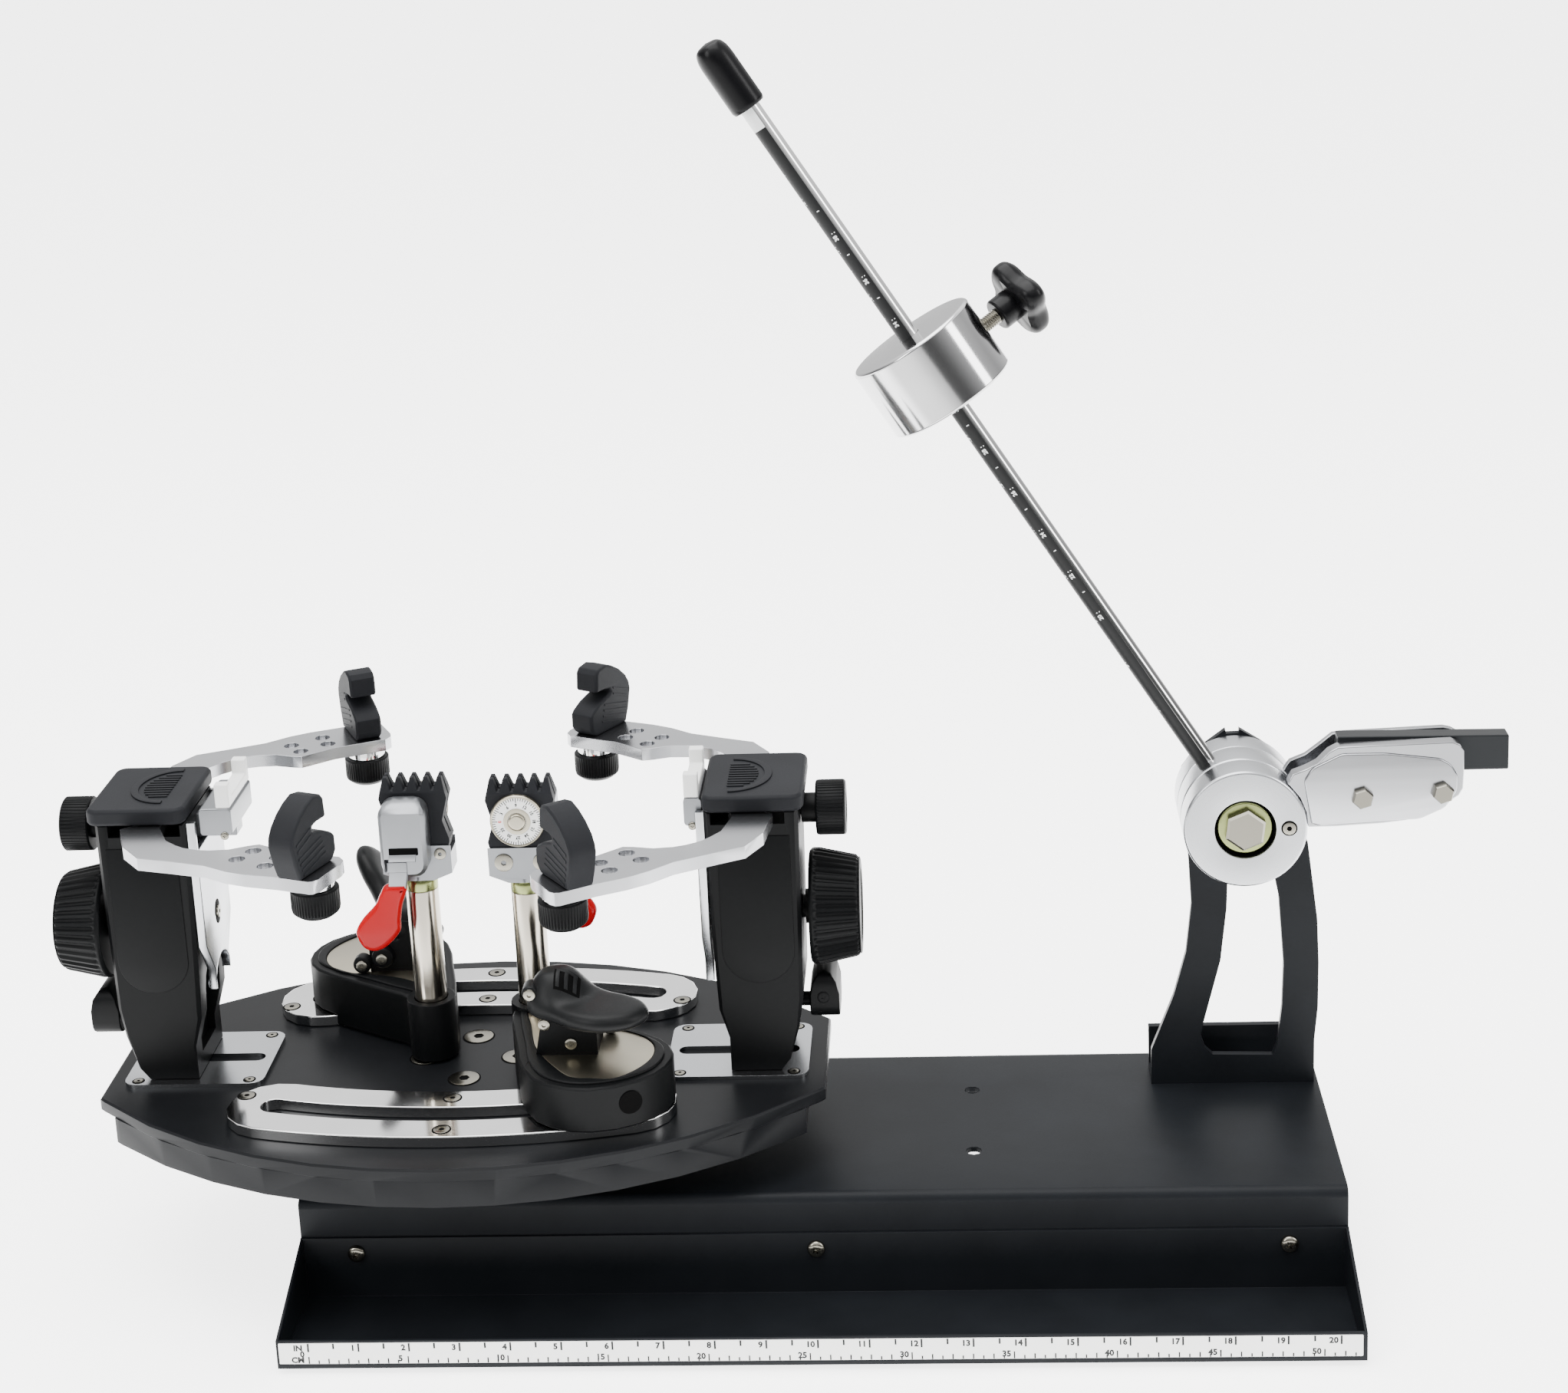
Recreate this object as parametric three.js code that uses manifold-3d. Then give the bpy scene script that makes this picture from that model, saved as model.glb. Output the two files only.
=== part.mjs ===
// Drop-weight racket stringing machine, in millimetres, +Z up, tension head at +X, ruler side at -Y.
import * as THREE from "three";
import { mergeVertices } from "three/addons/utils/BufferGeometryUtils.js";
import Module from "manifold-3d";

const wasm = await Module();
wasm.setup();

// Base channel, bent sheet
const baseLength = 537;
const baseFront = 71.6;
const baseBack = 86.2;
const baseTop = 59;
const baseSheet = 3;
const baseBend = 5;
const footHeight = 3;
const footWidth = 16;
const baseHoleRadius = 4;
const baseHoleX = 81;
const baseHoleY = 34;
const baseHoleShift = 6.8;

// Tool tray
const trayDepth = 66.5;
const traySheet = 1.5;
const trayWall = 35;
const trayLip = 15.5;

// Turntable
const tableX = -185.5;
const tableTop = 103.4;
const tableHalfWidth = 123.3;
const tableEndHalf = 43.8;
const tableHalfLength = 191;
const tableUpper = 7.5;
const tableLower = 13;
const tableLowerInset = 10;
const tableEdge = 1;
const spindleFlangeRadius = 45;
const spindleFlange = 5;
const spindleRadius = 24;
const spindlePin = 10;
const spindlePinHeight = 9;
const runningGap = 0.4;

// Clamp rails, arc bands on the turntable
const railRadius = 365.7;
const railMiddle = 75.9;
const railHalfWidth = 24.7;
const railSlotHalf = 7;
const railEndX = 92;
const railThick = 6.3;

// Slide plates under the towers
const plateOffset = 10.3;
const plateLength = 75;
const plateWidth = 62;
const plateCorner = 7;
const plateThick = 2.2;
const plateSlotInward = 28;
const plateSlotOutward = 31.7;
const plateSlotHalf = 4.5;

// Mounting towers
const towerSetback = 57;
const towerThick = 48.5;
const towerHalfDepth = 27;
const towerTop = 148.5;
const towerEdge = 2;
const towerKey = 26;
const pocketFloor = 140.4;
const pocketWall = 7;
const capThick = 9;
const capOverhang = 3;
const capHalfDepth = 32.5;
const capCorner = 6;
const capEdge = 1.5;
const archHalf = 14;
const archBottom = 13;
const archTop = 63;
const archDepth = 12;
const towerInner = tableHalfLength - towerSetback;
const towerOuter = towerInner + towerThick;
const plateX = towerInner + plateOffset;

// Side arms and hook pads
const armPivotInset = 22;
const armPivotX = towerInner + armPivotInset;
const armPivotY = 17;
const armPinRadius = 4.5;
const armEyeRadius = 9.3;
const armThick = 6.8;
const armReach = 123;
const armHoleRadius = 4.2;
const hookDepth = 38;
const hookWidth = 14.5;
const hookHeight = 38;
const hookStem = 4;
const hookKnobRadius = 12.2;
const hookKnobHeight = 15;
const hookCollar = 5;

// Tower knobs, levers and centre supports
const bigKnobHeight = 83.6;
const bigKnobInner = 30.4;
const bigKnobOuter = 26;
const bigKnobLength = 26.4;
const bigKnobCollar = 9;
const bigKnobCollarLength = 3;
const bigKnobShaft = 6;
const bigKnobShaftLength = 14;
const smallKnobHeight = 138.5;
const smallKnobRadius = 14.5;
const smallKnobLength = 15.5;
const smallKnobNeck = 7.7;
const smallKnobNeckLength = 8;
const smallKnobShaft = 3.6;
const smallKnobShaftLength = 22;
const supportReachLeft = 22.7;
const supportReachRight = 10.3;
const supportWide = 17.3;
const supportHalfDepth = 22;
const supportBottom = 138.4;
const supportTop = 153.2;
const supportTongueHalf = 6.4;
const supportTongueIn = 13.6;
const yokeTop = 166.2;
const yokeBase = 5.2;
const yokeProng = 6;
const yokeWidth = 7.5;
const lockHeight = 31;
const lockThick = 15.5;
const lockLength = 30;
const lockRise = 26;
const lockShaft = 4;
const lockShaftLength = 10;

// String clamps
const clampKeyXLeft = 58;
const clampKeyXRight = 75;
const clampPostX = 38;
const clampPostY = 67;
const clampTop = 31;
const clampSkirt = 1.6;
const clampKeyRadius = 6.6;
const clampSocketRadius = 13;
const clampSocketTop = 34;
const clampSocketFloor = 6;
const clampEarHeight = 71;
const clampEarDepth = 24;
const clampEarThick = 4.5;
const clampEarLength = 32;
const camHeight = 55;
const camX = 12;
const camRadius = 9.5;
const camLength = 38.5;
const camPin = 3;
const postRadius = 8.6;
const postTop = 97;
const postBottom = 7;
const headBottom = 103.5;
const headTop = 123;
const headHalf = 18.3;
const headHalfDepth = 8;
const headCollar = 8.2;
const gripTop = 151;
const gripInner = 8;
const gripOuter = 16.4;
const gripDepth = 13;
const gripBottom = 110.5;
const gripCorner = 7;
const jawTop = 160.5;
const jawHalf = 18;
const jawHalfDepth = 7;
const jawSlit = 0.7;
const jawSlitBottom = 128;
const jawToothDepth = 7;
const jawToothPitch = 7.2;
const redHinge = 117;
const redThick = 5;
const redBarrel = 3.6;
const redWidth = 11;
const redInset = 3;
const redLength = 50;
const dialRadius = 14.3;
const dialThick = 3;
const dialHeight = 138.5;
const dialX = 1.3;
const dialButton = 5;
const dialButtonHeight = 2;

// Tension head
const headX = 223.9;
const drumAxis = 228.7;
const drumFront = -11.1;
const drumDisc = 18.5;
const drumRadius = 31.4;
const drumBore = 15.6;
const drumBoreDepth = 9;
const boltRadius = 8;
const boltWasher = 14.6;
const boltWasherThick = 2;
const boltHead = 10.6;
const boltHeadThick = 5;
const bracketSheet = 4;
const bracketFootDepth = 22;
const bracketRise = 25.5;
const bracketHead = 34.3;
const bracketNotch = 32;
const notchFromAngle = 85.5;
const notchToAngle = 97.5;
const rodRadius = 5.2;
const rodLength = 470;
const rodSeat = 14;
const rodCapRadius = 9;
const rodCapLength = 38;
const rodLeanAngle = 32.4;
const weightRadius = 34;
const weightThick = 39;
const weightAlong = 284.5;
const weightEdge = 1;
const starStud = 4;
const starStudLength = 20;
const starHub = 8.5;
const starHubLength = 10;
const starRadius = 20.5;
const starThick = 12;
const starLobes = 4;
const starRecess = 12.5;
const starRecessDepth = 3;
const starGap = 10;
const gripperFrontPlate = 8;
const gripperRearPlate = 4;
const gripperFront = -9.5;
const gripperGap = 11.5;
const gripperLength = 76;

// Outline shares of the named sizes above
const armOutlineShares = [
  [0.01, 0.165], [0.18, 0.29], [0.325, 0.338], [0.463, 0.293], [0.626, 0.244], [0.748, 0.24],
  [0.846, 0.22], [0.976, 0.175], [1.122, 0.138], [1.135, 0.126], [1.14, 0.098], [1.096, -0.065],
  [1.077, -0.098], [1.037, -0.115], [0.911, -0.077], [0.813, -0.045], [0.65, -0.035], [0.622, 0],
  [0.581, 0.072], [0.52, 0.122], [0.472, 0.145], [0.407, 0.161], [0.358, 0.159], [0.28, 0.145],
  [0.14, 0.06], [0.07, -0.05],
];
const armHoleShares = [[0.846, 0.114], [0.821, 0.024], [0.692, 0.126], [0.684, 0.029]];
const hookProfileShares = [
  [-0.539, 0], [-0.618, 0.211], [-0.684, 0.474], [-0.663, 0.592], [-0.592, 0.711], [-0.447, 0.842],
  [-0.276, 0.942], [-0.105, 1], [0.066, 0.968], [0.121, 0.9], [0.142, 0.642], [0.092, 0.634],
  [-0.079, 0.634], [-0.171, 0.611], [-0.195, 0.568], [-0.158, 0.532], [-0.079, 0.511], [0.092, 0.458],
  [0.25, 0.374], [0.3, 0.321], [0.305, 0.121], [0.25, 0.047], [0.184, 0],
];
const clampOutlineShares = [
  [-0.78, 1.046], [-0.63, 0.893], [-0.26, 0.768], [0.18, 0.614], [0.63, 0.461], [0.95, 0.298],
  [1.07, 0.125], [1.05, -0.058], [0.89, -0.24], [0.53, -0.403], [0.05, -0.48], [-0.37, -0.442],
  [-0.73, -0.298], [-0.97, -0.038], [-1.08, 0.24], [-1.21, 0.557], [-1.29, 0.816], [-1.26, 0.989],
  [-1.13, 1.085], [-0.92, 1.104],
];
const bracketLeftShares = [
  [-0.143, 0.783], [-0.135, 0.622], [-0.153, 0.457], [-0.193, 0.308], [-0.266, 0.119], [-0.267, 0],
];
const bracketRightShares = [
  [0.249, 0], [0.25, 0.147], [0.261, 0.262], [0.263, 0.412], [0.258, 0.562], [0.228, 0.819],
];
const bracketWindowShares = [
  [-0.025, 0.604], [-0.045, 0.426], [-0.099, 0.215], [-0.109, 0.167], [-0.095, 0.124],
  [-0.071, 0.1], [0.118, 0.096], [0.133, 0.136], [0.148, 0.264], [0.153, 0.414],
  [0.138, 0.64], [0.115, 0.76], [-0.02, 0.76],
];
const redOutlineShares = [
  [-0.1, 0.02], [-0.1, -0.25], [-0.16, -0.48], [-0.19, -0.64], [-0.208, -0.773], [-0.338, -0.92],
  [-0.47, -0.986], [-0.594, -0.955], [-0.66, -0.845], [-0.67, -0.75], [-0.59, -0.62], [-0.45, -0.47],
  [-0.384, -0.34], [-0.307, -0.243], [-0.3, 0.02],
];
const camOutlineShares = [
  [0.1, 0.24], [0.5, 0.2], [0.82, 0.16], [0.98, 0.04], [1, -0.12], [0.9, -0.2], [0.55, -0.12], [0.1, -0.2],
];
const gripperBelowShares = [
  [-0.159, 0.311], [-0.054, 0.03], [0.17, 0.03], [0.474, 0.045], [0.636, 0.063], [0.726, 0.093],
  [0.817, 0.13], [0.926, 0.192], [0.987, 0.234], [1.014, 0.284], [1.018, 0.389], [1.017, 0.547],
];
const gripperFrontShares = [
  [0.988, 0.593], [0.939, 0.613], [0.283, 0.597], [0.191, 0.593], [0.13, 0.561], [0.055, 0.482],
  [-0.021, 0.442], [-0.107, 0.409],
];
const gripperRearShares = [
  [1.014, 0.593], [0.974, 0.616], [0.922, 0.629], [0.234, 0.605], [0.184, 0.597], [0.107, 0.534],
  [0.005, 0.454], [-0.097, 0.412], [-0.118, 0.386],
];
const gripperSpacerShares = [[0.1, 0.05], [0.9, 0.21], [0.9, 0.35], [-0.02, 0.35], [-0.02, 0.05]];
const gripperJawShares = [[0.196, 0.37], [1.33, 0.37], [1.33, 0.612], [0.2, 0.626]];
const lockOutlineShares = [
  [0, 0], [1, 0], [1, 0.55], [0.9, 0.8], [0.72, 0.95], [0.5, 1], [0.28, 0.95], [0.1, 0.8], [0, 0.55],
];
const towerOutlineShares = [
  [0.155, 0], [0.155, 0.13], [0.06, 0.24], [0.04, 0.38], [0.02, 0.6], [0, 1],
  [1, 1], [0.985, 0.6], [0.965, 0.28], [0.91, 0.17], [0.8, 0.045], [0.7, 0],
];

// Rest angles in degrees
const armSwingAngle = { lf: 34.5, lb: 42.5, rf: 46.6, rb: 41.6 };
const hookTurnAngle = { lf: 9, lb: -4, rf: 5, rb: 0 };
const hookLeanAngle = 60;
const camLiftAngleLeft = 50;
const camLiftAngleRight = -6;
const starTurnAngle = 25;

// Counts and turns
const roundSegments = 18;
const fineSegments = 24;
const half = 0.5;
const full = Math.PI * 2;
const rad = Math.PI / 180;

// Looks
function look(color, roughness, metalness) {
  return new THREE.MeshStandardMaterial({ color, roughness, metalness });
}
const blackPowder = look("#3a3c3e", 0.55, 0.1);
const blackPlastic = look("#46484a", 0.6, 0);
const darkPlastic = look("#5a5c5f", 0.6, 0);
const chrome = look("#d8d8d6", 0.15, 1);
const satinSteel = look("#c9cbcc", 0.35, 0.9);
const castGrey = look("#b9bbbd", 0.45, 0.6);
const whitePlastic = look("#f0f0ee", 0.5, 0);
const redVinyl = look("#e0404c", 0.4, 0);
const rubber = look("#2a2a2a", 0.9, 0);

// Solid helpers
function toSolid(geometry) {
  const bare = geometry.clone();
  bare.deleteAttribute("normal");
  bare.deleteAttribute("uv");
  const merged = mergeVertices(bare, 1e-4);
  const mesh = new wasm.Mesh({
    numProp: 3,
    vertProperties: new Float32Array(merged.attributes.position.array),
    triVerts: new Uint32Array(merged.index.array),
  });
  mesh.merge();
  return new wasm.Manifold(mesh);
}
function fromSolid(solid) {
  const mesh = solid.getMesh();
  const geometry = new THREE.BufferGeometry();
  geometry.setAttribute("position", new THREE.BufferAttribute(new Float32Array(mesh.vertProperties), 3));
  geometry.setIndex(new THREE.BufferAttribute(new Uint32Array(mesh.triVerts), 1));
  return geometry;
}
function join(first, ...rest) {
  return fromSolid(rest.reduce((sum, one) => sum.add(toSolid(one)), toSolid(first)));
}
function cut(first, ...rest) {
  return fromSolid(rest.reduce((left, one) => left.subtract(toSolid(one)), toSolid(first)));
}
function meet(first, second) {
  return fromSolid(toSolid(first).intersect(toSolid(second)));
}

// Shape helpers
function shapeOf(points, holes = []) {
  const outline = points.map(([x, y]) => new THREE.Vector2(x, y));
  if (THREE.ShapeUtils.isClockWise(outline)) {
    outline.reverse();
  }
  const shape = new THREE.Shape(outline);
  for (const hole of holes) {
    shape.holes.push(new THREE.Path(hole.map(([x, y]) => new THREE.Vector2(x, y))));
  }
  return shape;
}
function prism(points, depth, holes = [], edge = 0) {
  const options = { depth: depth - edge * 2, steps: 1, bevelEnabled: edge > 0, curveSegments: 1 };
  if (edge > 0) {
    options.bevelThickness = edge;
    options.bevelSize = edge;
    options.bevelOffset = -edge;
    options.bevelSegments = 1;
  }
  const geometry = new THREE.ExtrudeGeometry(shapeOf(points, holes), options);
  geometry.translate(0, 0, edge);
  return geometry;
}
function prismY(points, near, far, holes = [], edge = 0) {
  const geometry = prism(points, far - near, holes, edge);
  geometry.rotateX(Math.PI * half);
  geometry.translate(0, far, 0);
  return geometry;
}
function prismX(points, near, far, edge = 0) {
  const geometry = prism(points, far - near, [], edge);
  geometry.rotateZ(Math.PI * half);
  geometry.rotateY(Math.PI * half);
  geometry.translate(near, 0, 0);
  return geometry;
}
function box(x0, x1, y0, y1, z0, z1) {
  const geometry = new THREE.BoxGeometry(x1 - x0, y1 - y0, z1 - z0);
  geometry.translate((x0 + x1) * half, (y0 + y1) * half, (z0 + z1) * half);
  return geometry;
}
function turned(profile, segments = roundSegments) {
  const geometry = new THREE.LatheGeometry(profile.map(([r, z]) => new THREE.Vector2(r, z)), segments);
  geometry.rotateX(Math.PI * half);
  return geometry;
}
function rod(radius, z0, z1, segments = roundSegments) {
  return turned([[0, z0], [radius, z0], [radius, z1], [0, z1]], segments);
}
function alongX(geometry) {
  return geometry.rotateY(Math.PI * half);
}
function alongY(geometry) {
  return geometry.rotateX(-Math.PI * half);
}
function circle(cx, cy, radius, segments = roundSegments) {
  const points = [];
  for (let i = 0; i < segments; i += 1) {
    const angle = (i / segments) * full;
    points.push([cx + Math.cos(angle) * radius, cy + Math.sin(angle) * radius]);
  }
  return points;
}
function roundedBox(x0, x1, y0, y1, corner) {
  const points = [];
  const steps = 4;
  const centres = [[x1 - corner, y1 - corner], [x0 + corner, y1 - corner], [x0 + corner, y0 + corner],
    [x1 - corner, y0 + corner]];
  centres.forEach(([cx, cy], k) => {
    for (let i = 0; i <= steps; i += 1) {
      const angle = (k + i / steps) * Math.PI * half;
      points.push([cx + Math.cos(angle) * corner, cy + Math.sin(angle) * corner]);
    }
  });
  return points;
}
function slotOutline(x0, x1, halfWidth) {
  return roundedBox(x0, x1, -halfWidth, halfWidth, halfWidth * 0.999);
}
function smooth(points, count) {
  const curve = new THREE.CatmullRomCurve3(points.map(([x, y]) => new THREE.Vector3(x, y, 0)), true);
  return curve.getPoints(count).slice(0, count).map((p) => [p.x, p.y]);
}
function times(shares, sizeX, sizeY = sizeX) {
  return shares.map(([x, y]) => [x * sizeX, y * sizeY]);
}
function spun(points, angle) {
  const c = Math.cos(angle);
  const s = Math.sin(angle);
  return points.map(([x, y]) => [x * c - y * s, x * s + y * c]);
}
function moved(geometry, x, y, z) {
  return geometry.translate(x, y, z);
}

const assembly = new THREE.Group();
assembly.name = "stringing_machine";
function piece(name, geometry, material) {
  const flat = geometry.index ? geometry.toNonIndexed() : geometry;
  flat.computeVertexNormals();
  const mesh = new THREE.Mesh(flat, material);
  mesh.name = name;
  assembly.add(mesh);
  return mesh;
}

// Base channel with its two mounting holes
const baseHalf = baseLength * half;
function bendArc(cy, cz, radius, from, to) {
  const steps = 4;
  const points = [];
  for (let i = 0; i <= steps; i += 1) {
    const angle = (from + ((to - from) * i) / steps) * rad;
    points.push([cy + Math.cos(angle) * radius, cz + Math.sin(angle) * radius]);
  }
  return points;
}
const bendInner = baseBend - baseSheet;
const channelProfile = [
  [baseBack, footHeight],
  ...bendArc(baseBack - baseBend, baseTop - baseBend, baseBend, 0, 90),
  ...bendArc(baseBend - baseFront, baseTop - baseBend, baseBend, 90, 180),
  [-baseFront, footHeight],
  [baseSheet - baseFront, footHeight],
  ...bendArc(baseBend - baseFront, baseTop - baseBend, bendInner, 180, 90),
  ...bendArc(baseBack - baseBend, baseTop - baseBend, bendInner, 90, 0),
  [baseBack - baseSheet, footHeight],
];
const baseHoles = [baseHoleY + baseHoleShift, baseHoleShift - baseHoleY].map((y) =>
  moved(rod(baseHoleRadius, -baseSheet * 2, baseSheet, roundSegments * half), baseHoleX, y, baseTop));
piece("base_channel", cut(prismX(channelProfile, -baseHalf, baseHalf), ...baseHoles), blackPowder);

// Tool tray: back wall, floor, lip and two sloping end walls
const trayBack = -baseFront;
const trayFront = trayBack - trayDepth;
const trayProfile = [
  [trayBack, footHeight], [trayBack, footHeight + trayWall], [trayBack - traySheet, footHeight + trayWall],
  [trayBack - traySheet, footHeight + traySheet], [trayFront + traySheet, footHeight + traySheet],
  [trayFront + traySheet, footHeight + trayLip], [trayFront, footHeight + trayLip], [trayFront, footHeight],
];
const trayEndProfile = [
  [trayBack, footHeight], [trayBack, footHeight + trayWall], [trayFront, footHeight + trayLip],
  [trayFront, footHeight],
];
piece("tool_tray", join(
  prismX(trayProfile, -baseHalf, baseHalf),
  prismX(trayEndProfile, -baseHalf, traySheet - baseHalf),
  prismX(trayEndProfile, baseHalf - traySheet, baseHalf),
), blackPowder);

// Rubber foot strips under both ends
for (const [name, side] of [["foot_left", -1], ["foot_right", 1]]) {
  const x = side * (baseHalf - footWidth);
  const across = footWidth * half;
  piece(name, box(x - across, x + across, trayFront + footWidth, baseBack, 0, footHeight), rubber);
}

// Spindle under the turntable
const tableBottom = tableTop - tableUpper - tableLower;
piece("spindle", moved(turned([
  [0, baseTop], [spindleFlangeRadius, baseTop], [spindleFlangeRadius, baseTop + spindleFlange],
  [spindleRadius, baseTop + spindleFlange], [spindleRadius, tableBottom - runningGap],
  [spindlePin, tableBottom - runningGap], [spindlePin, tableBottom + spindlePinHeight - runningGap],
  [0, tableBottom + spindlePinHeight - runningGap],
]), tableX, 0, 0), satinSteel);

// Turntable, two arcs closed by straight ends
const tableCorner = tableHalfLength - tableEdge * 3;
const tableSag = tableHalfWidth - tableEndHalf;
const tableArcRadius = (tableCorner * tableCorner + tableSag * tableSag) / (tableSag * 2);
function lens(halfLength) {
  const drop = tableArcRadius - tableHalfWidth;
  const steps = 6;
  const corner = halfLength - tableEdge * 3;
  const upper = [];
  for (let i = -steps; i <= steps; i += 1) {
    const x = (corner * i) / steps;
    upper.push([x, Math.sqrt(tableArcRadius * tableArcRadius - x * x) - drop]);
  }
  const endY = upper[upper.length - 1][1] - tableEdge * 3;
  const ring = [[halfLength, -endY], [halfLength, endY], ...upper.reverse()];
  return [...ring, [-halfLength, endY], [-halfLength, -endY],
    ...upper.map(([x, y]) => [x, -y]).reverse()];
}
const turntable = join(
  moved(prism(lens(tableHalfLength), tableUpper, [], tableEdge), 0, 0, tableTop - tableUpper),
  moved(prism(lens(tableHalfLength - tableLowerInset), tableLower + tableEdge), 0, 0, tableBottom),
);
piece("turntable", moved(cut(turntable,
  rod(spindlePin + runningGap, tableBottom - spindlePin, tableBottom + spindlePinHeight)), tableX, 0, 0),
blackPlastic);

// Arc rails
function band(radius, halfWidth, endX) {
  const drop = radius - railMiddle;
  const limit = Math.asin(endX / radius);
  const steps = 8;
  const points = [];
  const at = (angle, r) => [Math.sin(angle) * r, Math.cos(angle) * r - drop];
  for (let i = -steps; i <= steps; i += 1) {
    points.push(at((limit * i) / steps, radius + halfWidth));
  }
  const [rx, ry] = at(limit, radius);
  for (let i = 1; i < steps; i += 1) {
    const angle = Math.PI * half - limit - (i / steps) * Math.PI;
    points.push([rx + Math.cos(angle) * halfWidth, ry + Math.sin(angle) * halfWidth]);
  }
  for (let i = steps; i >= -steps; i -= 1) {
    points.push(at((limit * i) / steps, radius - halfWidth));
  }
  const [lx, ly] = at(-limit, radius);
  for (let i = 1; i < steps; i += 1) {
    const angle = limit - Math.PI * half - (i / steps) * Math.PI;
    points.push([lx + Math.cos(angle) * halfWidth, ly + Math.sin(angle) * halfWidth]);
  }
  return points;
}
const railBack = band(railRadius, railHalfWidth, railEndX);
const railHole = band(railRadius, railSlotHalf, railEndX);
for (const [name, side] of [["rail_back", 1], ["rail_front", -1]]) {
  const turn = side > 0 ? 0 : Math.PI;
  const rail = prism(spun(railBack, turn), railThick, [spun(railHole, turn)]);
  piece(name, moved(rail, tableX, 0, tableTop), chrome);
}

// Slide plates with the tower slots
for (const [name, side] of [["slide_plate_left", -1], ["slide_plate_right", 1]]) {
  const turn = side > 0 ? 0 : Math.PI;
  const outline = roundedBox(plateX - plateLength * half, plateX + plateLength * half,
    -plateWidth * half, plateWidth * half, plateCorner);
  const slotStart = plateX - plateSlotInward - plateSlotHalf;
  const hole = slotOutline(slotStart, plateX + plateSlotOutward, plateSlotHalf);
  const plate = prism(spun(outline, turn), plateThick, [spun(hole, turn)]);
  piece(name, moved(plate, tableX, 0, tableTop), satinSteel);
}

// One mounting tower at +X of the turntable, turned half a turn for the other side
const towerFoot = plateThick;
const towerTall = towerTop - towerFoot;
const tongueTop = smallKnobHeight + supportTongueHalf;
const tongueBottom = smallKnobHeight - supportTongueHalf;
function toSide(geometry, side) {
  if (side < 0) {
    geometry.rotateZ(Math.PI);
  }
  return moved(geometry, tableX, 0, tableTop);
}
function tower() {
  const toTower = ([x, z]) => [towerInner + x * towerThick, towerFoot + z * towerTall];
  const outline = towerOutlineShares.map(toTower);
  const bottomShare = 0.28;
  const sideShare = 0.93;
  const sideProfile = [
    [-towerHalfDepth * sideShare, towerFoot], [towerHalfDepth * sideShare, towerFoot],
    [towerHalfDepth, towerFoot + towerTall * bottomShare], [towerHalfDepth, towerTop],
    [-towerHalfDepth, towerTop], [-towerHalfDepth, towerFoot + towerTall * bottomShare],
  ];
  const shell = meet(
    prismY(outline, -towerHalfDepth, towerHalfDepth, [], towerEdge),
    prismX(sideProfile, towerInner - towerThick, towerOuter + towerThick),
  );
  const key = box(plateX - towerKey * 0.1, plateX + towerKey * 0.9, runningGap - plateSlotHalf,
    plateSlotHalf - runningGap, runningGap, towerFoot + towerEdge);
  const far = towerHalfDepth * 2;
  const pocket = box(towerInner + pocketWall * half, towerOuter - pocketWall, -far, far, pocketFloor,
    far + towerTop);
  const channel = box(towerInner - pocketWall, towerOuter - pocketWall, -supportTongueHalf - runningGap,
    supportTongueHalf + runningGap, tongueBottom - runningGap, pocketFloor + towerEdge);
  const mouth = box(towerInner - pocketWall, towerInner + pocketWall, -supportTongueHalf - runningGap,
    supportTongueHalf + runningGap, tongueBottom - runningGap, tongueTop + runningGap);
  const pinBottom = pocketFloor - towerEdge;
  const pins = [-armPivotY, armPivotY].map((y) => moved(
    rod(armPinRadius, pinBottom, towerTop, roundSegments * half), armPivotX, y, 0));
  const bore = (radius, length, x, z) => moved(
    alongX(rod(radius + runningGap, 0, length, roundSegments * half)), x, 0, z);
  const screwBore = bore(smallKnobShaft, pocketWall * 2, towerOuter - pocketWall * 1.5, smallKnobHeight);
  const knobStart = towerOuter - bigKnobShaftLength;
  const knobBore = bore(bigKnobShaft, bigKnobShaftLength * 2, knobStart, bigKnobHeight);
  const lockStart = towerOuter - towerThick * 0.1 - lockShaftLength;
  const lockBore = bore(lockShaft, lockShaftLength * 3, lockStart, lockHeight);
  const archSpring = archTop - archHalf;
  const archOutline = [[-archHalf, archBottom], [archHalf, archBottom], [archHalf, archSpring]];
  const archSteps = 6;
  for (let i = 1; i <= archSteps; i += 1) {
    const angle = (i / archSteps) * Math.PI;
    archOutline.push([Math.cos(angle) * archHalf, archSpring + Math.sin(angle) * archHalf]);
  }
  const arch = prismX(archOutline, towerInner - pocketWall, towerInner + archDepth);
  return join(cut(join(shell, key), pocket, channel, mouth, screwBore, knobBore, lockBore, arch), ...pins);
}
function cap() {
  const capInner = towerInner - capOverhang * 0.2;
  const outline = roundedBox(capInner, towerOuter + capOverhang, -capHalfDepth, capHalfDepth, capCorner);
  return moved(prism(outline, capThick, [], capEdge), 0, 0, towerTop);
}
function bigKnob() {
  const x0 = -bigKnobShaftLength;
  const x1 = bigKnobCollarLength;
  const x2 = x1 + bigKnobLength;
  const edge = towerEdge;
  return moved(alongX(turned([
    [0, x0 + runningGap], [bigKnobShaft, x0 + runningGap], [bigKnobShaft, runningGap],
    [bigKnobCollar, runningGap], [bigKnobCollar, x1], [bigKnobInner - edge, x1], [bigKnobInner, x1 + edge],
    [bigKnobOuter, x2 - edge], [bigKnobOuter - edge * 2, x2], [0, x2],
  ], fineSegments)), towerOuter, 0, bigKnobHeight);
}
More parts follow.
